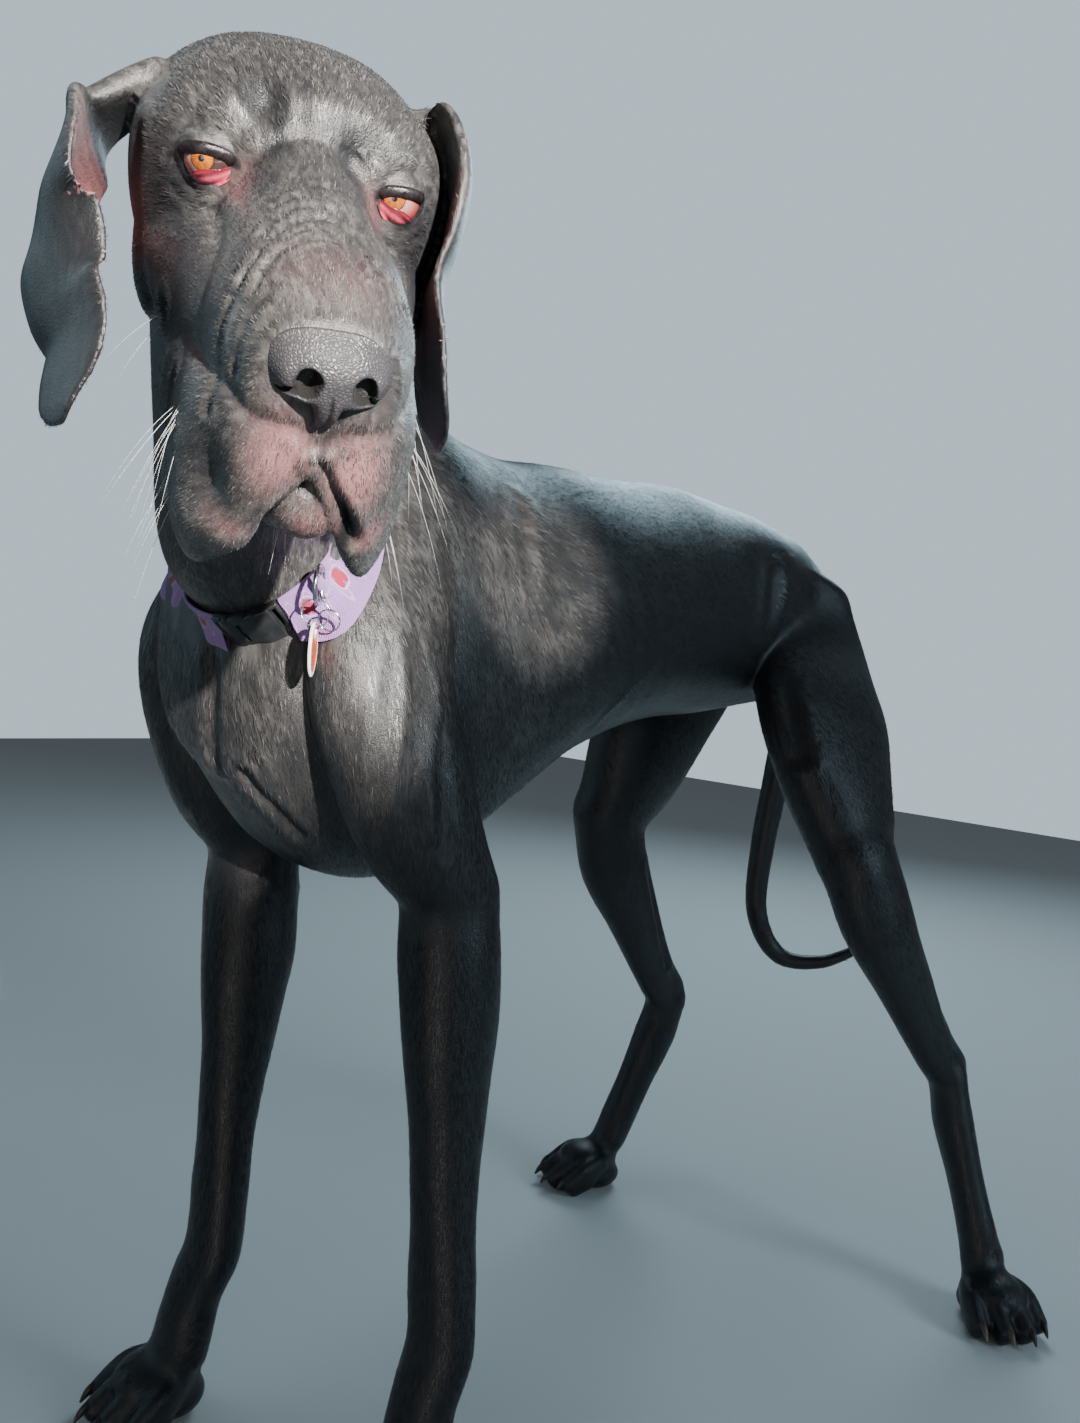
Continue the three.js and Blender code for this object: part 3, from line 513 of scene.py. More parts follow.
def headTubes(grow):
    # skull, muzzle, jaw and chin, then flew, brow, cheek, jowl and eye on each side
    tubes = [
        headTube(skullStations, 96, 60, 12, 12, grow), headTube(muzzleStations, 88, 70, 10, 12, grow),
        headTube(jawStations, 56, 50, 8, 10, grow), headEgg((4, 124, -89), (21, 23, 23), grow),
    ]
    for out in (-1, 1):
        tubes.append(sideTube(flewStations, out, 70, 5, 8, grow))
        tubes.append(headEgg((out * 33, -14, 14), (21, 21, 14), grow))
        tubes.append(sideTube(cheekStations, out, 60, 12, 12, grow))
        tubes.append(headEgg((out * 59, -34, -58), (15, 38, 40), grow))
        tubes.append(headEgg((out * eyeSide, eyeForward, 0), (15.5, 15.5, 15.5), grow))
    return tubes


# centre, direction across, half width, curl of the sides, half thickness
earStations = {
    "right": [
        (inHead((-58, -72, 12)), (0.8, -0.6, 0), 18, 2, 9), ((128, -590, 842), (0.7, -0.72, 0), 23, 3, 7),
        ((131, -599, 822), (0.72, -0.7, 0), 35, 5, 5), ((124, -609, 798), (0.87, -0.49, 0), 39, 17, 4),
        ((127, -609, 774), (1, -0.04, 0), 38, 9, 4), ((130, -606, 753), (1, -0.04, 0), 39, 6, 3.6),
        ((138, -602, 735), (0.98, -0.16, 0), 38, 4, 3.4), ((139, -604, 714), (0.98, -0.16, 0), 32, 2, 3),
        ((140, -606, 700), (0.97, -0.2, 0), 23, 0, 2.4), ((140, -606, 692), (0.97, -0.2, 0), 10, 0, 2),
    ],
    "left": [
        (inHead((58, -72, 10)), (-0.78, 0.62, 0), 18, 2, 9), ((219, -450, 868), (-0.78, 0.62, 0), 30, 4, 7),
        ((231, -450, 835), (-0.84, 0.54, 0), 40, 5, 5), ((233, -453, 806), (-0.82, 0.57, 0), 40, 5, 4),
        ((230, -458, 782), (-0.8, 0.6, 0), 38, 4, 4), ((232, -457, 755), (-0.82, 0.57, 0), 40, 3, 3.4),
        ((237, -457, 728), (-0.82, 0.57, 0), 36, 2, 3), ((240, -455, 715), (-0.82, 0.57, 0), 25, 1, 2.4),
        ((242, -455, 706), (-0.82, 0.57, 0), 10, 0, 2),
    ],
}


def earTube(stations, rows=90, around=64, thin=0.0):
    # A leaf along a curve: across * half * cos(a) + outwards * (thick * sin(a) - curl * cos(a)^2).
    # It is closed into a flat tube, and its first and last rings shrink to a point.
    at = np.array([s[0] for s in stations], float)
    across = np.array([s[1] for s in stations], float)
    sizes = np.array([s[2:5] for s in stations], float)
    t = np.linspace(0, 1, rows)
    run = unit(curveThrough(at, t + 0.04) - curveThrough(at, t - 0.04))
    wide = curveThrough(across, t)
    wide = unit(wide - run * (wide * run).sum(-1, keepdims=True))
    outward = np.cross(run, wide)
    half, curl, thick = curveThrough(sizes, t).T
    shrink = np.sqrt(np.clip(1 - np.maximum(np.maximum(0.03 - t, t - 0.97) / 0.03, 0) ** 2, 0, 1))
    angle = angles(around)
    c, s = np.cos(angle)[None], np.sin(angle)[None]
    flat = (half * shrink)[:, None] * squared(c, 0.85)
    rise = ((thick - thin) * shrink)[:, None] * squared(s, 0.6)
    rise = rise - (curl * shrink)[:, None] * c**2
    spread = wide[:, None] * flat[..., None]
    return curveThrough(at, t)[:, None] + spread + outward[:, None] * rise[..., None]


print("dane: forms worked out")

# the skin: every form of flesh remeshed as one surface, smoothed, then folded and veined


def applied(holder):
    # the object's mesh with its modifiers worked in; the object and its first mesh go
    raw = holder.data
    made = bpy.data.meshes.new_from_object(holder.evaluated_get(bpy.context.evaluated_depsgraph_get()))
    bpy.data.objects.remove(holder)
    bpy.data.meshes.remove(raw)
    return made


def remeshed(name, tubes, voxel):
    # one closed surface over all the tubes, made of cells as wide as the voxel in millimetres
    points, faces = joined([closedTube(grid) for grid in tubes])
    holder = linked(name, newMesh(name, points, faces))
    shell = holder.modifiers.new("shell", "REMESH")
    shell.mode = "VOXEL"
    shell.voxel_size = voxel / 1000.0
    return applied(holder)


def readOut(items, field, width, kind=float):
    # a field of a mesh's vertices, edges or loops as rows of an array
    flat = np.empty(len(items) * width, kind)
    items.foreach_get(field, flat)
    return flat.reshape(-1, width)


def pointsOf(mesh):
    return readOut(mesh.vertices, "co", 3) * 1000.0 - originShift


def normalsOf(mesh):
    return readOut(mesh.vertex_normals, "vector", 3)


def edgesOf(mesh):
    return readOut(mesh.edges, "vertices", 2, np.int64)


def setPoints(mesh, points):
    mesh.vertices.foreach_set("co", toMetres(points).ravel())
    mesh.update()


def relaxed(points, edges, rounds, share=0.5, weight=None, back=1.02):
    # each point goes towards the mean of its neighbours, then as far back, so that creases
    # soften and the size is kept; with a negative way back it only goes towards it
    n = len(points)
    count = np.maximum(np.bincount(edges.ravel(), minlength=n), 1)
    weight = np.ones(n) if weight is None else weight
    a, b = edges.T
    for step in range(rounds * 2):
        mean = np.empty_like(points)
        for k in range(3):
            mean[:, k] = np.bincount(a, points[b, k], n) + np.bincount(b, points[a, k], n)
        mean /= count[:, None]
        pull = share if step % 2 == 0 else -share * back
        points = points + (mean - points) * (pull * weight)[:, None]
    return points


def distanceTo(points, path, reach):
    # distance from each point to a curve given densely, large where it's beyond reach
    path = np.asarray(path, float)
    found = np.full(len(points), 1e4)
    near = np.all((points > path.min(0) - reach) & (points < path.max(0) + reach), axis=1)
    chosen = np.flatnonzero(near)
    for part in np.array_split(chosen, max(1, len(chosen) // 20000)):
        gap = np.linalg.norm(points[part][:, None] - path[None], axis=2)
        found[part] = gap.min(1)
    return found


plainFold = (0.35, 40)  # the puffed edges' share and the steps of a fold that gives none


def folded(points, folds):
    # how far each point moves out along its normal: a groove of a Gaussian profile with puffed
    # edges for a fold, or the same turned over for a ridge or vein
    rise = np.zeros(len(points))
    for places, width, depth, *more in folds:
        puff, steps = (*more, *plainFold[len(more):])
        path = curveThrough(places, np.linspace(0, 1, steps))
        d = distanceTo(points, path, width * 4) / width
        rise -= depth * np.exp(-d**2)
        rise += depth * puff * np.exp(-((d - 1.9) / 0.8) ** 2)
    return rise


def bell(points, at, sizes, power=1):
    # 1 at a place, falling as exp(-(distance / size)^2) or faster with a greater power
    return np.exp(-(((points - np.array(at)) / np.array(sizes)) ** 2).sum(1) ** power)


def swollen(points, places):
    # Gaussian swellings, or hollows where the height is negative: (place, sizes, height)
    rise = np.zeros(len(points))
    for at, sizes, height in places:
        rise += height * bell(points, at, sizes)
    return rise


def mirrored(folds):
    # the same folds on the head's other side too
    return folds + [([(-x, y, z) for x, y, z in places], *sizes) for places, *sizes in folds]


# folds: path, width, depth, and some with the share of their puffed edges and their steps
faceFolds = [
    # the furrow down the forehead and the bridge of the muzzle
    ([(-3, -60, 46), (-6, -20, 43), (-7, 8, 28), (-5, 34, 18), (-2, 52, 16)], 4, 1.0, 0.2),
    # arcs over the bridge
    ([(-36, 104, -6), (-32, 98, 0), (-26, 89, 6), (-15, 77, 11), (-2, 69, 13), (8, 75, 12), (15, 90, 10),
      (18, 108, 6)], 2.1, 2.1),
    ([(-32, 116, -3), (-23, 101, 6), (-13, 93, 11), (-2, 88, 12), (8, 95, 11), (13, 108, 8)], 2.3, 2.0),
    ([(-28, 80, 5), (-17, 66, 12), (-6, 60, 14), (5, 60, 14), (15, 70, 12)], 2.3, 2.2),
    ([(-20, 50, 13), (-10, 44, 16), (2, 42, 17), (12, 46, 15)], 2.4, 1.4),
    # from the bridge down each side of the muzzle
    ([(-30, 95, 2), (-35, 103, -4), (-39, 108, -13), (-41, 112, -25), (-42, 120, -38),
      (-44, 126, -54)], 2.8, 1.7),
    ([(-26, 122, -4), (-31, 126, -16), (-34, 130, -32)], 2.6, 1.6),
    ([(20, 98, 6), (27, 106, 0), (33, 110, -10), (37, 112, -24), (38, 116, -40)], 3.0, 2.0),
    ([(-46, 66, -6), (-51, 74, -24), (-54, 80, -44)], 4.5, 1.2),
    ([(46, 66, -6), (51, 74, -24), (54, 80, -44)], 4.5, 1.2),
]
cheekFolds = mirrored([
    # over the upper lid, under the lower lid, and the folds of the cheek and flew
    ([(62, -6, -6), (58, 2, 6), (49, 8, 15), (39, 10, 18), (30, 13, 14)], 2.0, 1.5),
    ([(60, 2, -16), (50, 10, -20), (38, 14, -17), (29, 18, -8)], 2.6, 1.5),
    ([(58, 10, -26), (48, 20, -32), (38, 26, -28)], 3.0, 1.2),
    ([(74, -30, -10), (72, -20, -40), (66, -6, -66), (60, 14, -86)], 6, 2.4),
    ([(58, 30, -60), (60, 44, -84), (56, 60, -104), (52, 74, -122)], 4.5, 2.6),
    ([(54, 74, -70), (58, 86, -92), (54, 96, -116)], 3.5, 1.6),
    ([(60, 4, -70), (62, 22, -96), (56, 36, -118)], 4, 2.0),
    ([(50, -40, 36), (40, -14, 36), (30, 4, 28)], 4, 1.0),
])
headSwellings = [
    ((-24, -2, 32), (9, 17, 10), -8.0), ((20, 9, 19), (9, 15, 10), -6.0),
    ((-19, 145, -35), (11, 12, 9), 3.0), ((15, 145, -35), (11, 12, 9), 3.0),
    ((-58, -16, 16), (13, 18, 16), 3.0), ((58, -16, 16), (13, 18, 16), 3.0),
    ((-38, -4, 25), (13, 12, 11), 2.2), ((36, -4, 25), (13, 12, 11), 2.2),
    ((-30, 26, 2), (9, 14, 9), -2.0), ((30, 26, 2), (9, 14, 9), -2.2), ((0, 112, 10), (22, 24, 12), 2.2),
    ((0, 136, -52), (10, 20, 16), -1.0), ((64, -60, 30), (18, 26, 18), -2.5),
    ((-64, -60, 30), (18, 26, 18), -2.5), ((-41, 134, -80), (9, 13, 16), -5.0),
    ((-30, 142, -107), (16, 14, 9), 3.0), ((-46, 122, -110), (12, 16, 10), 2.0),
    ((-24, 146, -72), (12, 12, 20), 2.4), ((25, 144, -74), (12, 12, 20), 2.4),
    ((38, 122, -108), (12, 16, 10), 1.5),
]
# the line of the lips: an upturned V below the nose, wider and open on the dog's left
lipLines = [
    ([(2, 152, -60), (-3, 151, -70), (-9, 149, -80), (-15, 144, -90), (-22, 134, -101), (-28, 118, -110),
      (-32, 96, -116)], 1.8, 4.0, 0.12, 90),
    ([(2, 152, -60), (8, 152, -70), (15, 150, -80), (21, 146, -92), (27, 136, -104), (31, 118, -112),
      (33, 96, -117)], 3.4, 9.0, 0.1, 90),
    ([(0, 158, -30), (1, 154, -44), (2, 152, -60)], 1.7, 3.0, 0.2),
]

eyes = {
    "right": {"out": -1, "gaze": (0.5736, -0.7319, -0.3697)},
    "left": {"out": 1, "gaze": (0.7054, -0.6291, -0.327)},
}
lidShape = {"wide": 12.0, "upper": 3.4, "lower": 10.6}  # half width and heights between the lids
# the skin's own opening is larger all round
openWide, openUpper, openLower = lidShape["wide"] + 1.2, lidShape["upper"] + 2.6, lidShape["lower"] + 1.2
eyeReach = 30.0  # points farther than this from an eye aren't its lids
socketDepth = 11.0


def eyeFrame(look):
    # the eye's centre and its axes: towards the temple, up, and out of the socket
    out = look["out"]
    centre = inHead((out * eyeSide, eyeForward, 0.0))
    outward = unit(np.array([out * 0.22, 0.93, 0.27])) @ headAxes
    side = headAxes[0] * out
    side = unit(side - outward * (side @ outward))
    up = np.cross(side, outward)
    return centre, side, up if up @ headAxes[2] > 0 else -up, outward


def roundEye(points, look):
    # the points' offsets from an eye, how far across and up they lie as shares of the skin's
    # opening, and how far out of the socket
    centre, side, up, outward = eyeFrame(look)
    offset = points - centre
    y = offset @ up
    return offset, (offset @ side) / openWide, y / np.where(y > 0, openUpper, openLower), offset @ outward


def openedForEyes(points):
    # inside each eye's opening the skin goes back behind the ball, and round it it lies close
    for look in eyes.values():
        offset, x, y, out = roundEye(points, look)
        near = (out > 0) & (np.linalg.norm(offset, axis=1) < eyeReach)
        back = np.clip((1.12 - (x**2 + y**2)) / 0.25, 0, 1) * near
        target = eyeFrame(look)[0] + unit(offset) * socketDepth
        points = np.where((back > 0)[:, None], points + (target - points) * back[:, None], points)
    return points


def thinned(mesh, most):
    # collapses edges to stay below a number of triangles
    mesh.calc_loop_triangles()
    count = len(mesh.loop_triangles)
    if count <= most:
        return mesh
    holder = linked(mesh.name, mesh)
    fewer = holder.modifiers.new("fewer", "DECIMATE")
    fewer.ratio = most / count
    return applied(holder)


def pastCollar(points):
    # how far points lie past the collar's plane, towards the head
    return (points - collarAt) @ collarAlong


def cutAtCollar(mesh, name, side):
    # keeps the side of the collar's plane that the piece covers, and 8 mm more under the webbing
    points = pointsOf(mesh)
    keep = side * pastCollar(points) > -8.0
    quads = readOut(mesh.loops, "vertex_index", 1, np.int64).reshape(-1, 4)
    quads = quads[keep[quads].all(1)]
    used, index = np.unique(quads, return_inverse=True)
    return newMesh(name, points[used], [index.reshape(-1, 4)])


def nearEar(points):
    # 1 on the hanging part of the ears, 0 elsewhere
    found = np.zeros(len(points))
    aside = np.abs(ofHead(points)[:, 0]) > 62
    for stations in earStations.values():
        path = curveThrough(np.array([s[0] for s in stations], float), np.linspace(0, 1, 60))
        found = np.maximum(found, np.clip((44 - distanceTo(points, path, 60)) / 6, 0, 1) * aside)
    return found


skinLook = {
    "most": 188000,  # triangles of a skin
    "head": {"voxel": 1.6, "draftVoxel": 3.2, "rounds": 38},
    "body": {"voxel": 2.6, "draftVoxel": 5.0, "rounds": 52, "jointRounds": 40},
    # how far round each joint the body is smoothed more
    "joints": {"knee": 60, "elbow": 62, "hip": 105, "hock": 30, "wrist": 30, "knuckle": 26, "heel": 26},
}


def headSkin(look):
    # the head's forms as one surface, smoothed, folded, swollen and opened for the eyes
    voxel = look["voxel"]
    tubes = headTubes(-coatDepth) + [neckTube(-coatDepth), trunkTube(-coatDepth, 6, 60)]
    tubes += [armTube(pose[side], -coatDepth) for side in ("left", "right")]
    tubes += [earTube(earStations[side], thin=0.4) for side in ("right", "left")]
    mesh = cutAtCollar(remeshed("skin_head", tubes, voxel), "skin_head", 1)
    points, edges = pointsOf(mesh), edgesOf(mesh)
    onEar = nearEar(points)  # the ears are thin, so they are smoothed least
    past = pastCollar(points)
    weight = (1 - 0.75 * onEar) * np.where((np.abs(past) < 3.0) | (past < -5), 0.2, 1.0)
    points = relaxed(points, edges, int(look["rounds"] * look["voxel"] / voxel) + 4, weight=weight)
    setPoints(mesh, points)
    places = ofHead(points)
    rise = folded(places, faceFolds + cheekFolds) + swollen(places, headSwellings)
    rise += folded(places, lipLines) * (places[:, 1] > 80)
    rise *= headScale
    points = points + normalsOf(mesh) * rise[:, None]
    points = relaxed(points, edges, 2, weight=1 - 0.5 * onEar)
    setPoints(mesh, openedForEyes(points))
    return mesh


bodyFolds = [
    # crease before the right foreleg, the edge of the strap's muscle, grooves of the shoulders
    ([(22, -400, 520), (25, -392, 500), (32, -378, 486), (38, -356, 466)], 5, 3.5),
    ([(12, -424, 600), (14, -422, 570), (8, -415, 530), (4, -404, 500)], 6, 3.0),
    ([(132, -330, 700), (136, -362, 620), (140, -378, 560), (136, -376, 500)], 8, 3.0),
    ([(130, -300, 680), (138, -318, 610), (142, -330, 540), (146, -322, 470)], 7, 2.6),
    ([(-130, -300, 680), (-138, -318, 610), (-142, -330, 540), (-140, -322, 470)], 7, 2.6),
    ([(-62, -420, 640), (-70, -424, 590), (-62, -412, 540)], 7, 2.4),
    # behind the shoulder blade and the upper arm
    ([(92, -214, 720), (126, -222, 640), (134, -226, 560), (128, -232, 480)], 9, 3.2),
    ([(-92, -214, 720), (-126, -222, 640), (-134, -226, 560), (-128, -232, 480)], 9, 3.2),
    # the tendon above each hock, and the groove of the thigh
    ([(214, 272, 380), (232, 292, 320), (246, 306, 262)], 6, 3.5),
    ([(-70, 214, 380), (-66, 250, 320), (-66, 282, 262)], 6, 3.5),
    ([(104, 380, 640), (150, 330, 560), (196, 280, 480)], 9, 3.0),
    ([(-116, 380, 640), (-132, 320, 560), (-130, 250, 480)], 9, 3.0),
    # the flank, before each thigh
    ([(84, 190, 700), (100, 176, 640), (118, 168, 580), (140, 162, 530)], 10, 4.5),
    ([(-84, 190, 700), (-104, 160, 640), (-112, 140, 580), (-118, 118, 530)], 10, 4.5),
    # down the middle of the back and of the chest
    ([(0, -180, 770), (0, 0, 776), (0, 180, 780), (0, 330, 750)], 9, 1.8, 0.35, 90),
]
bodyRidges = [
    # veins of the forearms and the thighs, tendons of the legs
    ([(-70, -300, 420), (-80, -318, 398), (-86, -326, 374), (-84, -332, 340),
      (-78, -338, 300)], 2.6, -2.0, 0.0),
    ([(-112, -318, 410), (-108, -330, 385), (-96, -336, 350), (-84, -340, 300)], 2.4, -1.6, 0.0),
    ([(136, -328, 452), (132, -314, 424), (134, -314, 396), (140, -320, 360),
      (144, -322, 310)], 2.6, -2.2, 0.0),
    ([(146, -310, 466), (146, -302, 438), (142, -312, 404), (140, -320, 366)], 2.4, -1.8, 0.0),
    ([(126, -364, 610), (134, -362, 570), (136, -366, 530), (130, -366, 500)], 5, -2.4, 0.0),
    ([(124, -334, 610), (132, -330, 570), (141, -340, 530), (144, -334, 480)], 5, -2.6, 0.0),
    ([(88, -104, 545), (98, -80, 572), (104, -46, 598), (102, 14, 628), (96, 100, 650),
      (100, 160, 620)], 5, -1.8, 0.0, 80),
    ([(150, 180, 560), (176, 176, 500), (206, 214, 430), (226, 250, 350)], 3, -1.6, 0.0),
    ([(-118, 170, 540), (-122, 150, 480), (-112, 190, 400), (-100, 250, 320)], 3, -1.6, 0.0),
    ([(156, -318, 300), (158, -316, 220), (160, -312, 150)], 3.5, -1.2, 0.0),
    ([(-84, -340, 300), (-78, -346, 220), (-74, -350, 150)], 3.5, -1.2, 0.0),
]
bodySwellings = [
    ((0, -392, 592), (34, 26, 60), 5.0), ((60, -392, 560), (26, 22, 44), 3.0),
    ((-60, -392, 560), (26, 22, 44), 3.0), ((16, -400, 590), (9, 20, 70), -3.0),
    ((52, 296, 752), (24, 26, 16), 4.0), ((-52, 296, 752), (24, 26, 16), 4.0),
    ((92, 150, 700), (30, 40, 40), -4.0), ((-92, 150, 700), (30, 40, 40), -4.0),
    ((150, 300, 560), (30, 50, 60), 4.0), ((-136, 290, 560), (30, 50, 60), 4.0),
    ((132, -300, 520), (24, 34, 50), 3.5), ((-132, -300, 520), (24, 34, 50), 3.5),
    ((214, 180, 430), (22, 24, 24), 3.0), ((-104, 142, 440), (22, 24, 24), 3.0),
]


def ribRise(points):
    # low rounded ribs along each flank, fading at the back and the belly
    x, y, z = points.T
    phase = (y + 0.35 * (z - 620)) / 33.0
    shown = np.exp(-((y + 70) / 105) ** 4) * np.exp(-((z - 610) / 70) ** 4) * (np.abs(x) > 50)
    return 0.4 * np.cos(phase * 2 * math.pi) * shown


def bodySkin(look, joints):
    # the body's forms as one surface, smoothed most round the joints, then folded and swollen
    voxel = look["voxel"]
    grow = -coatDepth
    tubes = [trunkTube(grow), neckTube(grow), tailTube(grow)]
    for side in pose.values():
        tubes += [armTube(side, grow)] + forearmTubes(side, grow) + hindTubes(side, grow)
        for paw, aim in (("paw", "pawAim"), ("hindPaw", "hindAim")):
            tubes += pawTubes(side[paw], side[aim], -0.8)
    mesh = cutAtCollar(remeshed("skin_body", tubes, voxel), "skin_body", -1)
    points, edges = pointsOf(mesh), edgesOf(mesh)
    height, past = points[:, 2], pastCollar(points)
    weight = np.clip((height - 40) / 60, 0.16, 1.0) * np.where(past > 5, 0.2, 1.0)
    weight[(points[:, 1] > 405) & (height < 640)] = 0.35  # the tail
    points = relaxed(points, edges, int(look["rounds"] * look["voxel"] / voxel), weight=weight)
    near = np.zeros(len(points))
    for side in pose.values():
        for joint, reach in joints.items():
            gap = np.linalg.norm(points - np.array(side[joint]), axis=1)
            near = np.maximum(near, np.exp(-(gap / reach) ** 4))
    points = relaxed(points, edges, int(look["jointRounds"] * look["voxel"] / voxel), weight=near, back=-1.0)
    setPoints(mesh, points)
    rise = folded(points, bodyFolds + bodyRidges) + swollen(points, bodySwellings) + ribRise(points)
    rise *= np.clip((-5 - past) / 14, 0, 1)
    points = points + normalsOf(mesh) * rise[:, None]
    points = relaxed(points, edges, 3, weight=np.clip((height - 30) / 60, 0.1, 1.0))
    points[:, 2] = np.maximum(points[:, 2], 0.15)
    setPoints(mesh, points)
    return mesh


skinHead = thinned(headSkin(skinLook["head"]), skinLook["most"])
print("dane: skin of the head,", len(skinHead.polygons), "faces")
skinBody = thinned(bodySkin(skinLook["body"], skinLook["joints"]), skinLook["most"])
print("dane: skin of the body,", len(skinBody.polygons), "faces")


# materials


class Board:
    # Adds nodes to one tree. What goes into a socket is a number, a colour or another socket.
    def __init__(self, tree):
        self.nodes, self.links = tree.nodes, tree.links

    def put(self, socket, value):
        if isinstance(value, bpy.types.NodeSocket):
            self.links.new(value, socket)
        else:
            socket.default_value = value

    def add(self, kind, **settings):
        made = self.nodes.new("ShaderNode" + kind)
        for key, value in settings.items():
            if key in made.inputs:
                self.put(made.inputs[key], value)
            else:
                setattr(made, key, value)
        return made

    def shade(self, **look):
        # the material's own shader; its sockets' names without their spaces
        for socket in self.nodes["Principled BSDF"].inputs:
            if socket.name.replace(" ", "") in look:
                self.put(socket, look[socket.name.replace(" ", "")])

    def place(self):
        return self.add("TexCoord").outputs["Object"]

    def noise(self, vector, **settings):
        return self.add("TexNoise", Vector=vector, **settings).outputs["Fac"]

    def calc(self, operation, *values):
        made = self.add("Math", operation=operation)
        for socket, value in zip(made.inputs, values):
            self.put(socket, value)
        return made.outputs[0]

    def times(self, first, second):
        return self.calc("MULTIPLY", first, second)

    def less(self, first, second):
        return self.calc("SUBTRACT", first, second)

    def blend(self, factor, first, second):
        # a mix of two colours
        return self.add("Mix", data_type="RGBA", Factor=factor, A=first, B=second).outputs["Result"]

    def span(self, value, low, high, first=0.0, last=1.0):
        # a value taken from one range to another
        made = self.add("MapRange", Value=value)
        for name, number in (("From Min", low), ("From Max", high), ("To Min", first), ("To Max", last)):
            made.inputs[name].default_value = number
        return made.outputs["Result"]

    def own(self, name):
        # a layer of colours that the piece carries
        return self.add("Attribute", attribute_name=name).outputs

    def split(self, colour):
        parts = self.add("SeparateColor", Color=colour).outputs
        return parts["Red"], parts["Green"], parts["Blue"]

    def bump(self, height, strength, distance):
        return self.add("Bump", Strength=strength, Distance=distance, Height=height).outputs["Normal"]


def newMaterial(name):
    material = bpy.data.materials.new(name)
    material.use_nodes = True
    return material, Board(material.node_tree)


def newGroup(name, inputs, outputs):
    # a node group with a vector and some numbers put in, and masks or a height put out
    group = bpy.data.node_groups.new(name, "ShaderNodeTree")
    add = group.interface.new_socket
    add(name="Vector", in_out="INPUT", socket_type="NodeSocketVector")
    for label, value in inputs.items():
        add(name=label, in_out="INPUT", socket_type="NodeSocketFloat").default_value = value
    for label in outputs:
        add(name=label, in_out="OUTPUT", socket_type="NodeSocketFloat")
    entry, leave = group.nodes.new("NodeGroupInput"), group.nodes.new("NodeGroupOutput")
    return group, Board(group), entry.outputs, leave.inputs


def buildFurGrain():
    # short hair: fine noise over broader lumps as a height, and broad patches where the hair parts
    scales = {"Hair scale": 900.0, "Patch scale": 24.0}
    group, board, given, out = newGroup("furGrain", scales, ["Patch", "Height"])
    place = given["Vector"]
    fine = board.noise(place, Scale=given["Hair scale"], Detail=3.0, Roughness=0.65)
    lumps = board.noise(place, Scale=220.0, Detail=2.0)
    patch = board.noise(place, Scale=given["Patch scale"], Detail=4.0, Roughness=0.6, Distortion=0.6)
    board.put(out["Patch"], patch)
    board.put(out["Height"], board.calc("MULTIPLY_ADD", lumps, 0.12, fine))
    return group


def buildWear():
    # smudges and fine grain for smooth things: a broad mask and a fine one
    group, board, given, out = newGroup("wear", {"Scale": 60.0}, ["Smudge", "Grain"])
    place, scale = given["Vector"], given["Scale"]
    finer = board.times(scale, 14.0)
    board.put(out["Smudge"], board.noise(place, Scale=scale, Detail=5.0, Roughness=0.6))
    board.put(out["Grain"], board.noise(place, Scale=finer, Detail=2.0, Roughness=0.5))
    return group


furGrain, wear = buildFurGrain(), buildWear()

coatLook = {
    "root": (0.0085, 0.0090, 0.0110, 1.0),  # the black at the foot of the hair
    "tip": (0.098, 0.092, 0.088, 1.0),  # grey where light catches it
    "silver": (0.30, 0.295, 0.29, 1.0),  # painted glints of light on a few hairs
    "pink": (0.36, 0.145, 0.15, 1.0),
    "wet": (0.006, 0.006, 0.007, 1.0),
    "roughness": 0.46,
    "sheen": 0.05,
    "sheenTint": (0.62, 0.80, 0.92, 1.0),
    # least share of the tip's grey, shares of painted glint and pink, height of the bump
    "skin": {"least": 0.22, "silver": 0.10, "pink": 1.0, "bump": 0.55},
    "tufts": {"least": 0.08, "silver": 0.85, "pink": 0.14, "bump": 0.15},
}


def coatMaterial(name, look, kind):
    # The colours mix by the piece's own layer "marks": red is pink skin, green is the grey of the hair of
    # the head and chest, partly its own tone and partly painted sunlight and shade, blue is wet black rims
    # and pads with some painted shade. Strokes of hair come from its alpha on a skin, and from each tuft's
    # own "strand".
    material, board = newMaterial(name)
    more = look[kind]
    grain = board.add("Group", node_tree=furGrain, Vector=board.place()).outputs
    marks = board.own("marks")
    pinkness, greyAndPaintedSunShare, wetness = board.split(marks["Color"])
    strokes, height = marks["Alpha"], board.calc("MULTIPLY_ADD", marks["Alpha"], 0.3, grain["Height"])
    if kind == "tufts":
        strokes, height = board.own("strand")["Fac"], grain["Height"]
    patches = board.span(grain["Patch"], 0.35, 0.7, 0.55)
    grey = board.times(board.span(strokes, 0.0, 1.0, more["least"]), patches)
    colour = board.blend(board.times(grey, greyAndPaintedSunShare), look["root"], look["tip"])
    # painted glints: the palest strokes turn silver, most where the grey share with its painted sunlight is
    # high
    paintedGlintShare = board.times(board.span(strokes, 0.8, 1.0, 0.0, more["silver"]), greyAndPaintedSunShare)
    colour = board.blend(paintedGlintShare, colour, look["silver"])
    colour = board.blend(board.times(pinkness, more["pink"]), colour, look["pink"])
    rough = board.span(grain["Patch"], 0.0, 1.0, look["roughness"], look["roughness"] - 0.2)
    board.shade(BaseColor=board.blend(wetness, colour, look["wet"]), Roughness=rough,
                Normal=board.bump(height, more["bump"], 0.0009), SheenWeight=look["sheen"],
                SheenRoughness=0.35, SheenTint=look["sheenTint"])
    return material


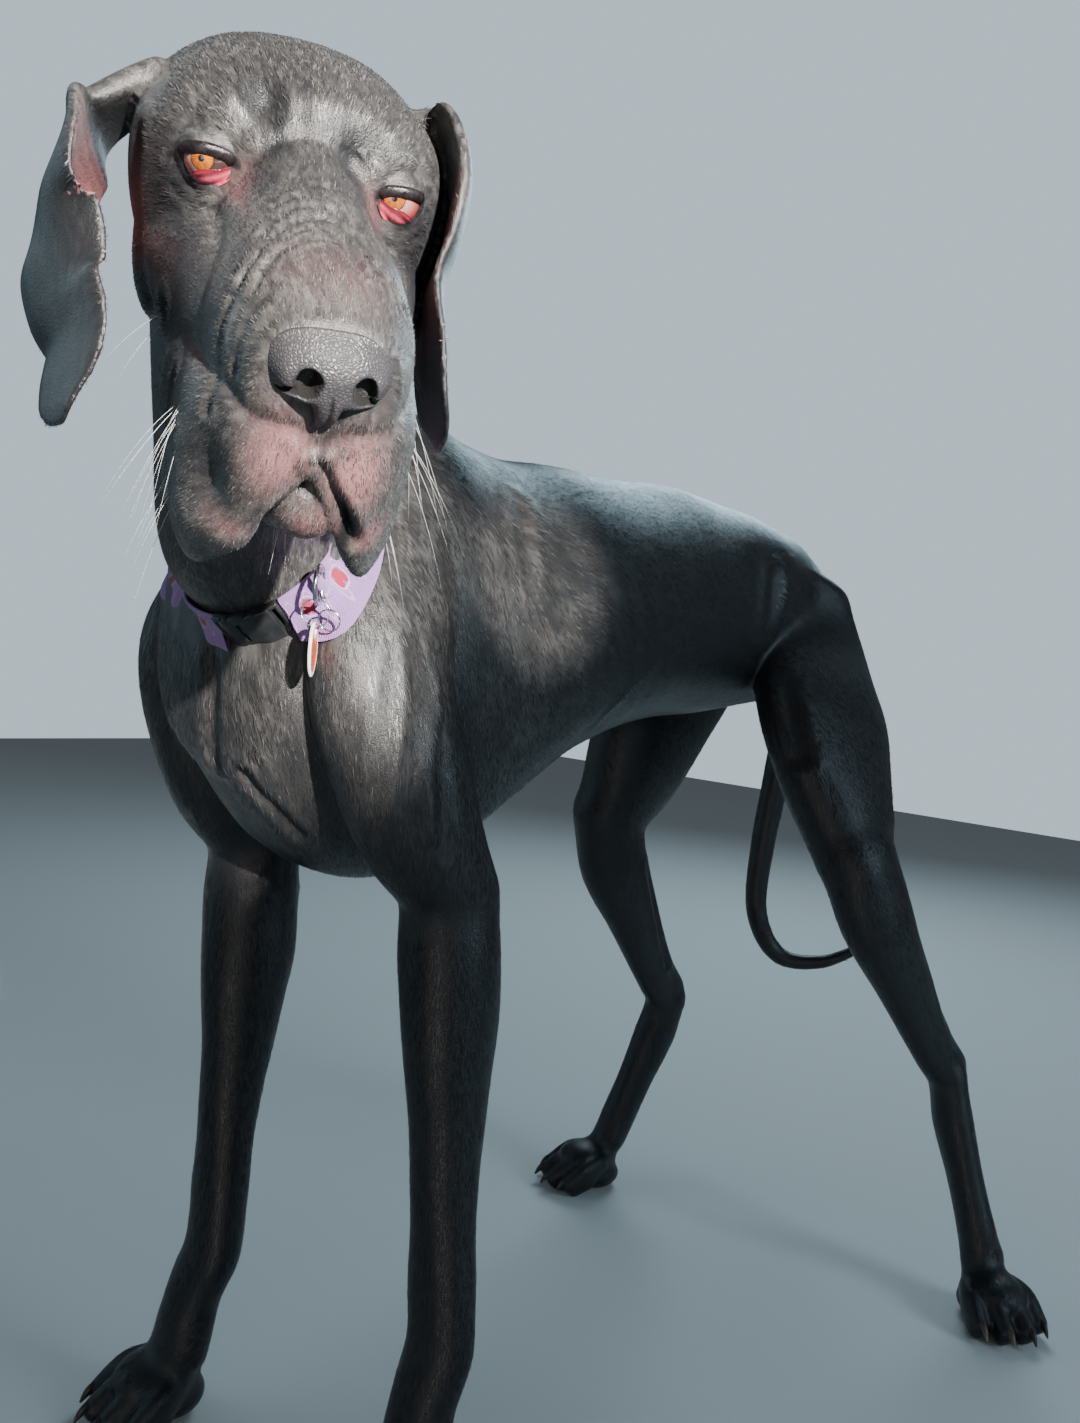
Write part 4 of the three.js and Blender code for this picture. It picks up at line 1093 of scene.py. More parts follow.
def wornMaterial(name, look):
    # one colour with smudges of a second, roughness that follows them, and a fine grain
    material, board = newMaterial(name)
    marks = board.add("Group", node_tree=wear, Vector=board.place(), Scale=look["scale"]).outputs
    colour = board.blend(board.span(marks["Smudge"], 0.35, 0.7), look["colour"], look["second"])
    rough = board.span(marks["Smudge"], 0.3, 0.7, look["rough"] - 0.08, look["rough"] + 0.12)
    board.shade(BaseColor=colour, Metallic=look.get("metal", 0.0), Roughness=rough,
                Normal=board.bump(marks["Grain"], look["bump"], 0.0003))
    return material


skinMaterial = coatMaterial("shortBlackCoat", coatLook, "skin")
tuftMaterial = coatMaterial("coatTufts", coatLook, "tufts")

# marks of the coat: pink skin, grey hair with painted sunlight and shade, wet rims


def earInside(points, rows=40, around=32):
    # how far a point lies on the bare inner face of an ear, by the nearest point of the ear's form
    found = np.zeros(len(points))
    places = ofHead(points)
    skull = np.array(skullStations)
    skullSide = np.interp(places[:, 1], skull[:, 0], skull[:, 4], right=0)
    clear = np.abs(places[:, 0]) - skullSide
    for stations, (top, bottom) in zip(earStations.values(), ((7, 32), (6, 27))):
        grid = earTube(stations, rows, around)
        face = np.sin(angles(around))
        near = np.flatnonzero(distanceTo(points, grid.mean(1), 50) < 50)
        flat = grid.reshape(-1, 3)
        shown = np.zeros(len(near))
        for part in np.array_split(np.arange(len(near)), max(1, len(near) // 2000)):
            gaps = np.linalg.norm(points[near[part]][:, None] - flat[None], axis=2)
            closest = gaps.argmin(1)
            row, column = closest // around, closest % around
            inner = np.clip(-face[column] * 3, 0, 1) * (np.abs(np.cos(column * 2 * math.pi / around)) < 0.93)
            inner = inner * np.clip((row - top) / 3, 0, 1) * np.clip((bottom - row) / 9, 0, 1)
            shown[part] = inner * (gaps.min(1) < 5.5)
        found[near] = np.maximum(found[near], shown)
    return found * np.clip((clear - 3) / 5, 0, 1)


# painted shade in the face's hollows and on its sides, darkening the hair there, and pink skin: place, size,
# share
paintedShadeSpots = [
    ((-25, -2, 33), (13, 21, 14), 0.95), ((-17, 14, 18), (7, 16, 12), 0.85),
    ((21, 12, 16), (12, 19, 15), 0.93), ((18, 28, 4), (8, 18, 12), 0.75),
    ((-23, 22, 2), (7, 15, 10), 0.7), ((-48, -20, 36), (14, 16, 8), 0.35),
    ((-41, 134, -80), (9, 14, 17), 0.6), ((-20, 40, 4), (5, 18, 8), 0.5),
    ((-34, 30, -14), (8, 16, 6), 0.5),
]
pinkSpots = [
    ((-15, 150, -56), (12, 14, 17), 0.55), ((18, 148, -62), (11, 14, 17), 0.60),
    ((-28, 16, -6), (8, 12, 12), 0.30), ((29, 16, -6), (7, 12, 12), 0.34),
    ((32, 140, -96), (8, 14, 10), 0.42), ((0, 112, 8), (22, 18, 10), 0.12),
    ((-28, 136, -100), (10, 12, 8), 0.28), ((6, 145, -96), (13, 14, 12), 0.45),
]


def onLine(places, line, width, steps):
    # 1 on a line, falling as a Gaussian to either side
    gap = distanceTo(places, curveThrough(line, np.linspace(0, 1, steps)), 20)
    return np.exp(-(gap / (0.9 * width)) ** 2)


def marksFor(points):
    # red, green and blue: shares of pink skin, of grey hair (partly a painted pool of sunlight, with painted
    # shade on the cheeks, in hollows and along folds), and of wet black lips, rims and pads (with painted
    # shade in the mouth's gap)
    places, height = ofHead(points), points[:, 2]
    left, forward, up = places.T
    onHead = np.clip((pastCollar(points) - 60) / 60, 0, 1)
    pink = np.zeros(len(points))
    for at, sizes, share in pinkSpots:
        pink = np.maximum(pink, share * bell(places, at, sizes))
    pink *= forward > -40
    pink = np.maximum(pink, 0.66 * earInside(points))
    # lighter grey hair high up and forward on the head, neck and chest, near black lower down and behind:
    # partly the coat's own tone, partly a painted pool of sunlight
    greyAndPaintedSun = np.clip((height - 400) / 200, 0.0, 1.0) * np.clip((-60 - points[:, 1]) / 160, 0.16, 1)
    greyAndPaintedSun = np.maximum(0.8 * greyAndPaintedSun, onHead)
    # painted shade on the sides of the cheeks
    paintedCheekShade = np.clip((np.abs(left) - 42) / 12, 0, 1) * np.clip((8 - up) / 20, 0, 1)
    greyAndPaintedSun *= 1 - 0.82 * paintedCheekShade * onHead * np.clip((95 - forward) / 30, 0, 1)
    for at, sizes, share in paintedShadeSpots:
        greyAndPaintedSun *= 1 - share * bell(places, at, sizes)
    # painted shade along the folds of the face
    for line, width, *_ in faceFolds + cheekFolds:
        greyAndPaintedSun *= 1 - 0.7 * onLine(places, line, width, 50)
    lips = np.max([onLine(places, line, width, 90) for line, width, *_ in lipLines], 0)
    rims = np.zeros(len(points))
    for look in eyes.values():
        offset, x, y, _ = roundEye(points, look)
        edge = np.exp(-(np.maximum(np.sqrt(x**2 + y**2) - 1, 0) / 0.13) ** 2)
        edge = edge * np.where(offset @ eyeFrame(look)[2] > -1, 1.0, 0.45)
        rims = np.maximum(rims, edge * (np.linalg.norm(offset, axis=1) < 24))
    # painted shade in the mouth's gap on the dog's left, put in as wet black
    gap = bell(places, (22, 138, -94), (5, 14, 18), 2)
    nose = bell(places, (1, 146, -20), (21, 12, 15), 2)
    wet = np.maximum(np.maximum(lips * (forward > 60), np.maximum(gap, nose)), rims)
    pads = np.clip((6.0 - height) / 4.0, 0, 1)
    return np.stack([pink, greyAndPaintedSun, np.maximum(wet, pads), np.ones(len(points))], -1)


for skin in (skinHead, skinBody):
    setColours(skin, "marks", marksFor(pointsOf(skin)))

headNodes = ["head", "neck", "ear_left", "ear_right", "lower_jaw"]
bodyNodes = ["chest", "belly", "rump", "tail_root", "tail_middle", "tail_tip"]
for part in ("shoulder", "thigh", "shin", "hock", "forearm", "paw_front", "paw_hind"):
    bodyNodes += [part + "_left", part + "_right"]
headPiece = addPiece("skin_head", skinHead, skinMaterial, headNodes)
bodyPiece = addPiece("skin_body", skinBody, skinMaterial, bodyNodes)
print("dane: skin in place")

# eyes: a ball with its cornea, the lids' rims, and the loose pink skin of the lower lid

eyeLook = {
    "pupil": 0.10, "iris": 0.44, "bulge": 1.1,  # half angles in radians, height of the cornea
    "amber": (0.50, 0.14, 0.012, 1.0),
    "amberDark": (0.17, 0.04, 0.006, 1.0),
    "white": (0.40, 0.24, 0.21, 1.0),
    "red": (0.34, 0.05, 0.05, 1.0),
    "dark": (0.010, 0.008, 0.008, 1.0),
    "haw": (0.46, 0.06, 0.10, 1.0),
    "hawDark": (0.13, 0.006, 0.012, 1.0),
}


def eyeBall(look, rings=80, around=72):
    # a ball about the line of sight: radius + bulge exp(-(a / 0.42)^2) at the angle a from it
    centre = eyeFrame(look)[0]
    gaze = unit(look["gaze"])
    beside = unit(np.cross(gaze, headAxes[2]))
    over = np.cross(beside, gaze)
    a = (math.pi * np.linspace(0, 1, rings + 1) ** 1.4)[:, None]
    turn = angles(around)[None]
    radius = eyeRadius + eyeLook["bulge"] * np.exp(-(a / 0.42) ** 2) + 0 * turn
    flat = np.cos(turn)[..., None] * beside + np.sin(turn)[..., None] * over
    grid = centre + radius[..., None] * (np.cos(a)[..., None] * gaze + np.sin(a)[..., None] * flat)
    colours = np.stack([a / math.pi + 0 * turn, 0.5 - 0.5 * look["out"] * np.cos(turn) + 0 * a,
                        0.5 + 0.5 * np.sin(turn) + 0 * a, np.ones_like(radius)], -1)
    return closedTube(grid), closedTube(colours)[0]


def eyeMaterial(look):
    # an amber iris streaked outwards and dark at its rim, a pupil, and a pinkish white
    material, board = newMaterial("eye")
    gaze = board.own("gaze")["Color"]
    angle, temple, upright = board.split(gaze)
    streaks = board.span(board.noise(gaze, Scale=9.0, Detail=4.0, Roughness=0.7), 0.34, 0.66)
    iris = board.blend(streaks, look["amber"], look["amberDark"])
    edge, pupil = look["iris"] / math.pi, look["pupil"] / math.pi
    iris = board.blend(board.span(angle, edge * 0.84, edge * 0.99), iris, look["dark"])
    iris = board.blend(board.span(angle, pupil, pupil + 0.006, 1.0, 0.0), iris, look["dark"])
    veins = board.noise(board.place(), Scale=420.0, Detail=5.0, Roughness=0.75, Distortion=1.2)
    white = board.blend(board.span(veins, 0.5, 0.64, 0.12, 0.8), look["white"], look["red"])
    white = board.blend(board.span(angle, edge * 1.25, edge * 2.3), white, look["red"])
    # the white darker towards one corner and towards the top: partly dark pigment, partly painted shade of
    # the lids
    white = board.blend(board.span(temple, 0.62, 0.30, 0.0, 0.92), white, look["dark"])
    white = board.blend(board.span(upright, 0.72, 0.90), white, look["dark"])
    colour = board.blend(board.span(angle, edge * 0.99, edge * 1.04), iris, white)
    board.shade(BaseColor=colour, Roughness=0.06, CoatWeight=1.0, CoatRoughness=0.02)
    return material


def edgeHeight(points, look, asked, cells=30):
    # how far out the skin stands round an eye's opening, at the angles asked for
    offset, x, y, out = roundEye(points, look)
    ring = np.hypot(x, y)
    near = (ring > 1.05) & (ring < 1.22) & (out > 0) & (np.linalg.norm(offset, axis=1) < eyeReach)
    turn = np.arctan2(y[near], x[near])
    cell = ((turn + math.pi) / (2 * math.pi) * cells).astype(int) % cells
    count = np.bincount(cell, minlength=cells)
    mean = np.bincount(cell, out[near], cells) / np.maximum(count, 1)
    middles = (np.arange(cells) + 0.5) / cells * 2 * math.pi - math.pi
    known = count > 0
    mean = np.interp(middles, middles[known], mean[known], period=2 * math.pi)
    mean = (np.roll(mean, 1) + 2 * mean + np.roll(mean, -1)) / 4
    return np.interp(asked, middles, mean, period=2 * math.pi)


def lidRing(look, points, around=120, section=20):
    # The rim of the lids: an oval path (wide cos(a), upper or lower sin(a)), part way between
    # the skin's edge and the ball, with an oval section that is broader above than below.
    centre, side, up, outward = eyeFrame(look)
    a = angles(around)
    above = np.clip(np.sin(a) * 1.6, 0, 1) ** 0.7
    inward = 0.1 + 1.5 * above
    x = (openWide - 0.5 * inward) * np.cos(a)
    y = (np.where(np.sin(a) > 0, openUpper, openLower) - inward) * np.sin(a)
    ball = np.sqrt(np.maximum(12.4**2 - x**2 - y**2, 9.0))
    z = 0.42 * edgeHeight(points, look, a) + 0.58 * ball + 0.2
    path = centre + x[:, None] * side + y[:, None] * up + z[:, None] * outward
    run = unit(np.roll(path, -1, 0) - np.roll(path, 1, 0))
    across = unit(np.cross(run, outward))
    over = np.cross(across, run)
    broad, deep = 0.7 + 2.2 * above, 0.8 + 1.1 * above
    turn = angles(section)
    flat = (broad[:, None] * np.cos(turn))[..., None] * across[:, None]
    rise = (deep[:, None] * np.sin(turn))[..., None] * over[:, None]
    return path[:, None] + flat + rise


def hawSheet(look, points, columns=64, rows=24):
    # The loose lower lid: a sheet from the rim up to a drooping line, leaning from the rim's
    # height in to the ball, closed behind into a thin solid; "tone" runs from rim to line.
    centre, side, up, outward = eyeFrame(look)
    wide, lower = lidShape["wide"] + 0.6, lidShape["lower"] + 0.6
    x = np.linspace(-0.96, 0.96, columns) * wide
    rim = -lower * np.sqrt(1 - (x / wide) ** 2)
    line = np.interp(x, [-12.6, -11, -6, 0, 4, 8, 12.6], [1.4, -0.6, -2.9, -3.8, -5.4, -8.2, -4.2])
    line = np.maximum(line, rim + 0.6)
    v = np.concatenate([np.linspace(0, 1, rows), np.linspace(1, 0, rows)])
    back = np.repeat([0.0, 1.0], rows)
    y = rim[:, None] * (1 - v) + line[:, None] * v
    edge = edgeHeight(points, look, np.arctan2(rim / lower, x / wide))
    ball = np.sqrt(np.maximum(12.25**2 - x[:, None] ** 2 - y**2, 6.0))
    fold = 0.35 * np.sin(v * 9.0 + 0.35 * x[:, None]) * np.sin(math.pi * v)
    lean = (np.maximum(edge[:, None] - ball - 0.8, 0)) * (1 - v) ** 1.6
    z = ball + lean + 0.5 * (1 - back) + fold - 1.4 * back
    grid = centre + x[:, None, None] * side + y[..., None] * up + z[..., None] * outward
    tone = np.stack([v + 0 * y, np.clip(-x / 12, 0, 1)[:, None] + 0 * y, 0 * y, 0 * y + 1], -1)
    return closedTube(capped(grid)), closedTube(capped(tone))[0]


def hawMaterial(look):
    # wet pink skin, dark red along its upper line and towards the nose, with fine vessels
    material, board = newMaterial("hawSkin")
    tone, inner, _ = board.split(board.own("tone")["Color"])
    vessels = board.noise(board.place(), Scale=500.0, Detail=4.0, Distortion=0.8)
    colour = board.blend(board.span(vessels, 0.45, 0.7, 0.0, 0.5), look["haw"], look["hawDark"])
    colour = board.blend(board.span(tone, 0.55, 0.92, 0.0, 0.9), colour, look["hawDark"])
    colour = board.blend(board.span(inner, 0.72, 1.0, 0.0, 0.8), colour, look["hawDark"])
    board.shade(BaseColor=colour, Normal=board.bump(vessels, 0.25, 0.0004), Roughness=0.16, CoatWeight=0.8,
                CoatRoughness=0.05)
    return material


lidLook = {"colour": (0.006, 0.005, 0.006, 1.0), "second": (0.020, 0.014, 0.016, 1.0), "scale": 300.0,
           "rough": 0.24, "bump": 0.35}
headPoints = pointsOf(skinHead)
eyeSurface, hawSurface = eyeMaterial(eyeLook), hawMaterial(eyeLook)
lidSurface = wornMaterial("wetBlackSkin", lidLook)
for label, look in eyes.items():
    form, colours = eyeBall(look)
    formedPiece("eye_ball_" + label, [form], eyeSurface, "eye", ["eye_" + label], gaze=[colours])
    form, colours = hawSheet(look, headPoints)
    formedPiece("haw_" + label, [form], hawSurface, "coat", tone=[colours])
    formedPiece("lids_" + label, [closedRing(lidRing(look, headPoints))], lidSurface, "coat")
print("dane: eyes in place")

# nose: left and up of its rim in the head's frame, with how far forward each point lies

noseShape = {
    "rim": [
        (-2, -1, 143.5), (12, -2, 143), (21, -8, 142.5), (27, -19, 140), (25, -28.5, 139),
        (15, -31, 143), (7, -31.5, 147), (4, -40, 148), (-3, -41, 148), (-7, -31.5, 147),
        (-15, -31, 143), (-25, -28, 139), (-26.5, -17, 140), (-22, -7, 142), (-14, -2.5, 143),
    ],
    "middle": (0.0, -19.0),
    "front": 156.5,
    "leather": (0.030, 0.029, 0.033, 1.0),
    # lit is a painted highlight on the pebbles' tops, hollow a painted shade inside the nostrils
    "lit": (0.085, 0.078, 0.082, 1.0),
    "hollow": (0.002, 0.0015, 0.0015, 1.0),
}
# each nostril's opening as paths in left and up, with width and depth
nostrils = [
    ([(-9.5, -18.5), (-10.5, -21.5)], 4.0, 10.0),
    ([(-10.5, -21.5), (-14, -24.5), (-19, -25.5), (-24, -23.5)], 1.5, 4.5),
    ([(13, -19), (13.5, -22)], 3.9, 10.0),
    ([(13.5, -22), (16, -25), (20.5, -26), (25, -24)], 1.5, 4.5),
]


def nosePad(shape, around=180, rows=84):
    # A dome over the rim: each point lies between rim and middle, and stands forward by
    # front - 0.016 left^2 - 0.035 above^2 - 0.02 below^2, less the nostrils' hollows; behind the
    # rim a skirt goes back into the muzzle.
    rim = np.array(shape["rim"] + shape["rim"][:3], float)
    turn = np.arange(around) / around * len(shape["rim"])
    place = (turn + 1) / (len(rim) - 1)
    edge = curveThrough(rim, place)
    s = np.linspace(0, 1, rows)[::-1, None] ** 1.5  # from the middle (1) to the rim (0)
    flat = edge[None, :, :2] * (1 - s[..., None]) + np.array(shape["middle"]) * s[..., None]
    left, up = flat[..., 0], flat[..., 1]
    face = shape["front"] - 0.016 * left**2 - 0.035 * np.maximum(up + 19, 0) ** 2
    face -= 0.020 * np.maximum(-24 - up, 0) ** 2
    face += 2.4 * np.exp(-((np.abs(left) - 20.5) / 4.2) ** 2 - ((up + 19) / 7) ** 2)
    rise = 1 - (1 - s) ** 9
    forward = edge[None, :, 2] + (face - edge[None, :, 2]) * rise
    hollow = np.zeros_like(forward)
    for places, width, depth in nostrils:
        path = np.array([mixed(a, b, t) for a, b in zip(places, places[1:]) for t in np.linspace(0, 1, 12)])
        d = np.linalg.norm(flat[..., None, :] - path, axis=-1).min(-1) / width
        hollow = np.maximum(hollow, depth * np.exp(-d**4))
    groove = 1.5 * np.exp(-((left - 0.5) / 0.9) ** 2) * np.clip((-22 - up) / 6, 0, 1)
    forward = forward - hollow - groove
    dome = np.stack([left, forward, up], -1)
    skirt = []
    for back, shrink in ((1.2, 1.0), (3.5, 0.97), (8.0, 0.9), (9.0, 0.0)):
        ring = edge * 1.0
        ring[:, :2] = np.array(shape["middle"]) + (edge[:, :2] - shape["middle"]) * shrink
        skirt.append(np.stack([ring[:, 0], np.where(shrink > 0, ring[:, 2] - back, 134.0), ring[:, 1]], -1))
    grid = np.concatenate([dome, np.array(skirt)])
    grid[0], grid[-1] = grid[0].mean(0), grid[-1].mean(0)
    # painted shade inside the nostrils, darkest where they are deepest
    dark = np.concatenate([np.clip(hollow / 1.2, 0, 1), np.zeros((4, around))])
    tone = np.stack([dark, 0 * dark, 0 * dark, 0 * dark + 1], -1)
    return closedTube(inHead(grid)), closedTube(tone)[0]


def leatherMaterial(shape):
    # pebbled leather: rounded cells raised between fine furrows, the cells' tops paler as a painted
    # highlight, and painted shade inside the nostrils
    material, board = newMaterial("noseLeather")
    hollow, _, _ = board.split(board.own("tone")["Color"])
    place = board.place()
    cells = board.add("TexVoronoi", feature="DISTANCE_TO_EDGE", Scale=620.0, Vector=place)
    drift = board.noise(place, Scale=90.0, Detail=3.0)
    pebble = board.span(cells.outputs["Distance"], 0.0, 0.32)
    colour = board.blend(board.times(pebble, drift), shape["leather"], shape["lit"])
    rough = board.calc("MAXIMUM", board.span(drift, 0.3, 0.7, 0.38, 0.52), hollow)
    board.shade(BaseColor=board.blend(hollow, colour, shape["hollow"]), Roughness=rough,
                Normal=board.bump(pebble, 0.42, 0.0005))
    return material


form, colours = nosePad(noseShape)
formedPiece("nose_pad", [form], leatherMaterial(noseShape), "nose", ["nose"], tone=[colours])
print("dane: nose in place")

# claws: four to a foot, along the toes' own line

clawLook = {"horn": (0.012, 0.010, 0.009, 1.0), "pale": (0.30, 0.22, 0.16, 1.0), "rough": 0.34}
# past the toe's tip, share across, height, half width and half depths
clawStations = [
    (-4, 1.04, 19.5, 4.2, 5.2, 5.0), (6, 1.05, 19.5, 3.6, 4.6, 4.4), (12, 1.055, 16, 2.8, 3.6, 3.4),
    (17, 1.06, 10, 1.0, 1.4, 1.4),
]


def clawTube(root, aim, ahead, across):
    # an oval spike from inside the toe, over and down to its tip
    stations = [
        (pawSpot(root, aim, ahead + past, across * share, height), *(size * pawSize for size in sizes))
        for past, share, height, *sizes in clawStations
    ]
    return ovalTube(stations, (0, 0, 1), around=20, rings=22, capRings=3, capStart=1, capEnd=1.2)


def hornMaterial(look):
    # dark horn with lengthwise streaks, paler where the piece's own tone is strong
    material, board = newMaterial("clawHorn")
    along, pale, _ = board.split(board.own("tone")["Color"])
    streaks = board.noise(board.place(), Scale=350.0, Detail=3.0)
    share = board.times(pale, board.span(streaks, 0.3, 0.7, 0.6, 1.0))
    share = board.calc("ADD", share, board.times(along, 0.25))
    board.shade(BaseColor=board.blend(share, look["horn"], look["pale"]),
                Roughness=board.span(streaks, 0.3, 0.7, look["rough"] - 0.06, look["rough"] + 0.1))
    return material


forms, colours = [], []
for label, side in pose.items():
    for root, aim, hind in ((side["paw"], side["pawAim"], False), (side["hindPaw"], side["hindAim"], True)):
        for index, (ahead, across) in enumerate(toePlaces):
            grid = clawTube(root, aim, ahead, across)
            t = np.linspace(0, 1, len(grid))[:, None] + np.zeros(grid.shape[1])
            pale = 0.85 * t**2 if hind and label == "left" and index in (0, 1) else 0.0 * t
            forms.append(closedTube(grid))
            colours.append(closedTube(np.stack([t**3, pale, 0 * t, 0 * t + 1], -1))[0])
formedPiece("claws", forms, hornMaterial(clawLook), "coat", tone=colours)

# whiskers: tapered hairs that droop, rooted on the skin

whiskerLook = {"seed": 21, "radius": 0.15, "colour": (0.62, 0.64, 0.64, 1.0),
               "second": (0.35, 0.36, 0.37, 1.0), "scale": 200.0, "rough": 0.3, "bump": 0.1}
# place and direction in the head's frame, how many, their length and spread
whiskerBeds = [
    ((-50, 96, -74), (-0.55, 0.3, -0.8), 10, 44, 14), ((50, 96, -74), (0.55, 0.3, -0.8), 10, 44, 14),
    ((-46, 104, -114), (-0.4, 0.3, -1.0), 7, 34, 13), ((46, 104, -114), (0.4, 0.3, -1.0), 7, 34, 13),
    ((0, 118, -118), (0.0, 0.5, -1.0), 5, 18, 12), ((-44, 4, 24), (-0.3, 0.8, 0.6), 3, 18, 4),
    ((44, 4, 24), (0.3, 0.8, 0.6), 3, 18, 4), ((-62, 20, -72), (-0.8, 0.1, -0.8), 2, 28, 5),
    ((62, 20, -72), (0.8, 0.1, -0.8), 2, 28, 5),
]


def wire(path, radius, first, around=12, closed=True):
    # a round wire along a path: path + radius (cos(a) n + sin(a) b), n and b square to its run
    run = unit(np.roll(path, -1, 0) - np.roll(path, 1, 0)) if closed else unit(np.gradient(path, axis=0))
    n = unit(np.cross(run, np.asarray(first, float)))
    b = np.cross(run, n)
    a = angles(around)
    section = np.cos(a)[:, None] * n[:, None] + np.sin(a)[:, None] * b[:, None]
    return path[:, None] + section * np.broadcast_to(radius, len(path))[:, None, None]


def whiskerTubes(look, beds, points):
    # each path: root + direction t + (0, 0, -droop t^2), thinning towards its tip
    random = np.random.default_rng(look["seed"])
    tubes = []
    t = np.linspace(0, 1, 12)[:, None]
    for place, direction, count, length, spread in beds:
        for _ in range(count):
            spot = inHead(np.array(place) + random.normal(0, 0.55, 3) * spread)
            root = points[np.linalg.norm(points - spot, axis=1).argmin()]
            way = unit(np.array(direction) + random.normal(0, 0.22, 3)) @ headAxes
            size = length * random.uniform(0.55, 1.15)
            droop = np.array([0, 0, -1]) * t**2 * size * random.uniform(0.2, 0.55)
            path = root + way * (t * size - 1.0) + droop
            tubes.append(capped(wire(path, look["radius"] * (1.04 - t[:, 0]), (0.31, 0.2, 0.93), 5, False)))
    return tubes


forms = [closedTube(grid) for grid in whiskerTubes(whiskerLook, whiskerBeds, headPoints)]
formedPiece("whiskers", forms, wornMaterial("whiskerHair", whiskerLook), "coat")
print("dane: claws and whiskers in place")

# the collar's webbing, round the neck's own shape

strapLook = {
    "half": 12.5, "thick": 3.0, "above": 0.3,
    "start": -53.5, "end": 273.5,  # degrees from the dog's left, up over the nape
    "lilac": (0.30, 0.165, 0.40, 1.0),
    "pale": (0.44, 0.32, 0.54, 1.0),
    # the painted shade in the weave's hollows
    "shade": (0.24, 0.12, 0.33, 1.0),
    "heart": (0.30, 0.008, 0.045, 1.0),
    "repeat": 25.0, "heartSize": 3.3,
}


def collarPoint(theta, w, r):
    # a point by its angle round the collar, its place across the strap and its radius
    flat = np.cos(theta)[..., None] * collarAcross + np.sin(theta)[..., None] * collarUp
    return collarAt + r[..., None] * flat + w[..., None] * collarAlong


def neckTable(turns=90):
    # The neck's outer radius by angle and by place across the strap: the largest radius of any
    # form within each cell, smoothed a little round the neck.
    grids = [neckTube(0), trunkTube(0), armTube(pose["left"], 0), armTube(pose["right"], 0)]
    offset = np.concatenate([grid.reshape(-1, 3) for grid in grids]) - collarAt
    x, y, w = offset @ collarAcross, offset @ collarUp, offset @ collarAlong
    radius = np.hypot(x, y)
    near = (np.abs(w) < 15.6) & (radius < 190)
    i = ((np.arctan2(y, x) + math.pi) / (2 * math.pi) * turns).astype(int) % turns
    j = np.clip(np.round((w + 12.5) / 6.25), 0, 4).astype(int)
    table = np.zeros((turns, 5))
    np.maximum.at(table, (i[near], j[near]), radius[near])
    for _ in range(3):
        table = (np.roll(table, 1, 0) + 2 * table + np.roll(table, -1, 0)) / 4
    return table


neckRadii = neckTable()


def radiusAt(theta, w):
    # the table read between its cells
    turns = len(neckRadii)
    i = (theta + math.pi) / (2 * math.pi) * turns - 0.5
    j = np.clip((w + 12.5) / 6.25, 0, 3.999)
    i, j = np.broadcast_arrays(i, j)
    i0, j0 = np.floor(i).astype(int), np.floor(j).astype(int)
    fi, fj = i - i0, j - j0
    a, b = neckRadii[i0 % turns, j0], neckRadii[(i0 + 1) % turns, j0]
    c, d = neckRadii[i0 % turns, j0 + 1], neckRadii[(i0 + 1) % turns, j0 + 1]
    return (a * (1 - fi) + b * fi) * (1 - fj) + (c * (1 - fi) + d * fi) * fj


def strapGrid(start, end, look, rows, around=36):
    # rows of rounded oblongs that lie "above" the neck, from one angle to another
    theta = np.radians(np.linspace(start, end, rows))[:, None]
    a = angles(around)
    w = look["half"] * squared(np.cos(a), 0.3) + 0 * theta
    height = look["above"] + look["thick"] / 2 * (1 + squared(np.sin(a), 0.6))
    middle = radiusAt(theta[:, 0], np.zeros(rows))
    run = np.concatenate([[0], np.cumsum(np.diff(theta[:, 0]) * middle[1:])])
    grid = collarPoint(theta + 0 * w, w, radiusAt(theta + 0 * w, w) + height)
    outer = 0 * w + (np.sin(a) > 0.1)
    colours = np.stack([run[:, None] / 1000 + 0 * w, 0.5 + 0.5 * w / look["half"], outer, 1 + 0 * w], -1)
    return closedTube(capped(grid)), closedTube(capped(colours))[0]


def webbingMaterial(look):
    # Twilled lilac webbing with pale curls and dark red hearts: a heart fills the points where
    # (x^2 + y^2 - 1)^3 - x^2 y^3 is negative.
    material, board = newMaterial("lilacWebbing")
    run, across, outer = board.split(board.own("strap")["Color"])
    millimetres = board.times(run, 1000.0)
    width = board.times(board.less(across, 0.5), look["half"] * 2)
    cell = board.calc("FRACT", board.calc("DIVIDE", millimetres, look["repeat"]))
    x = board.times(board.less(cell, 0.5), look["repeat"] / look["heartSize"])
    y = board.calc("DIVIDE", width, -look["heartSize"])
    xx, yy = board.times(x, x), board.times(y, y)
    body = board.less(board.calc("ADD", xx, yy), 1.0)
    heart = board.less(board.times(board.times(body, body), body), board.times(xx, board.times(yy, y)))
    inside = board.span(heart, -0.05, 0.05, 1.0, 0.0)
    outline = board.times(board.span(heart, 0.1, 0.5), board.span(heart, 1.6, 2.4, 1.0, 0.0))
    warp, weft = (board.calc("SINE", board.times(*pair)) for pair in ((millimetres, 5.2), (width, 6.3)))
    twill = board.times(warp, weft)
    wave = board.calc("SINE", board.times(millimetres, 0.5027))
    curl = board.calc("ABSOLUTE", board.less(board.times(wave, 7.5), width))
    # painted shade: the weave's low places darker, following the same twill as its bump
    colour = board.blend(board.span(twill, -0.6, 0.9), look["shade"], look["lilac"])
    colour = board.blend(board.times(outline, 0.85), colour, look["pale"])
    colour = board.blend(board.span(curl, 0.5, 1.0, 0.7, 0.0), colour, look["pale"])
    colour = board.blend(board.times(inside, outer), colour, look["heart"])
    board.shade(BaseColor=colour, Roughness=0.72, SheenWeight=0.2, Normal=board.bump(twill, 0.6, 0.0004))
    return material


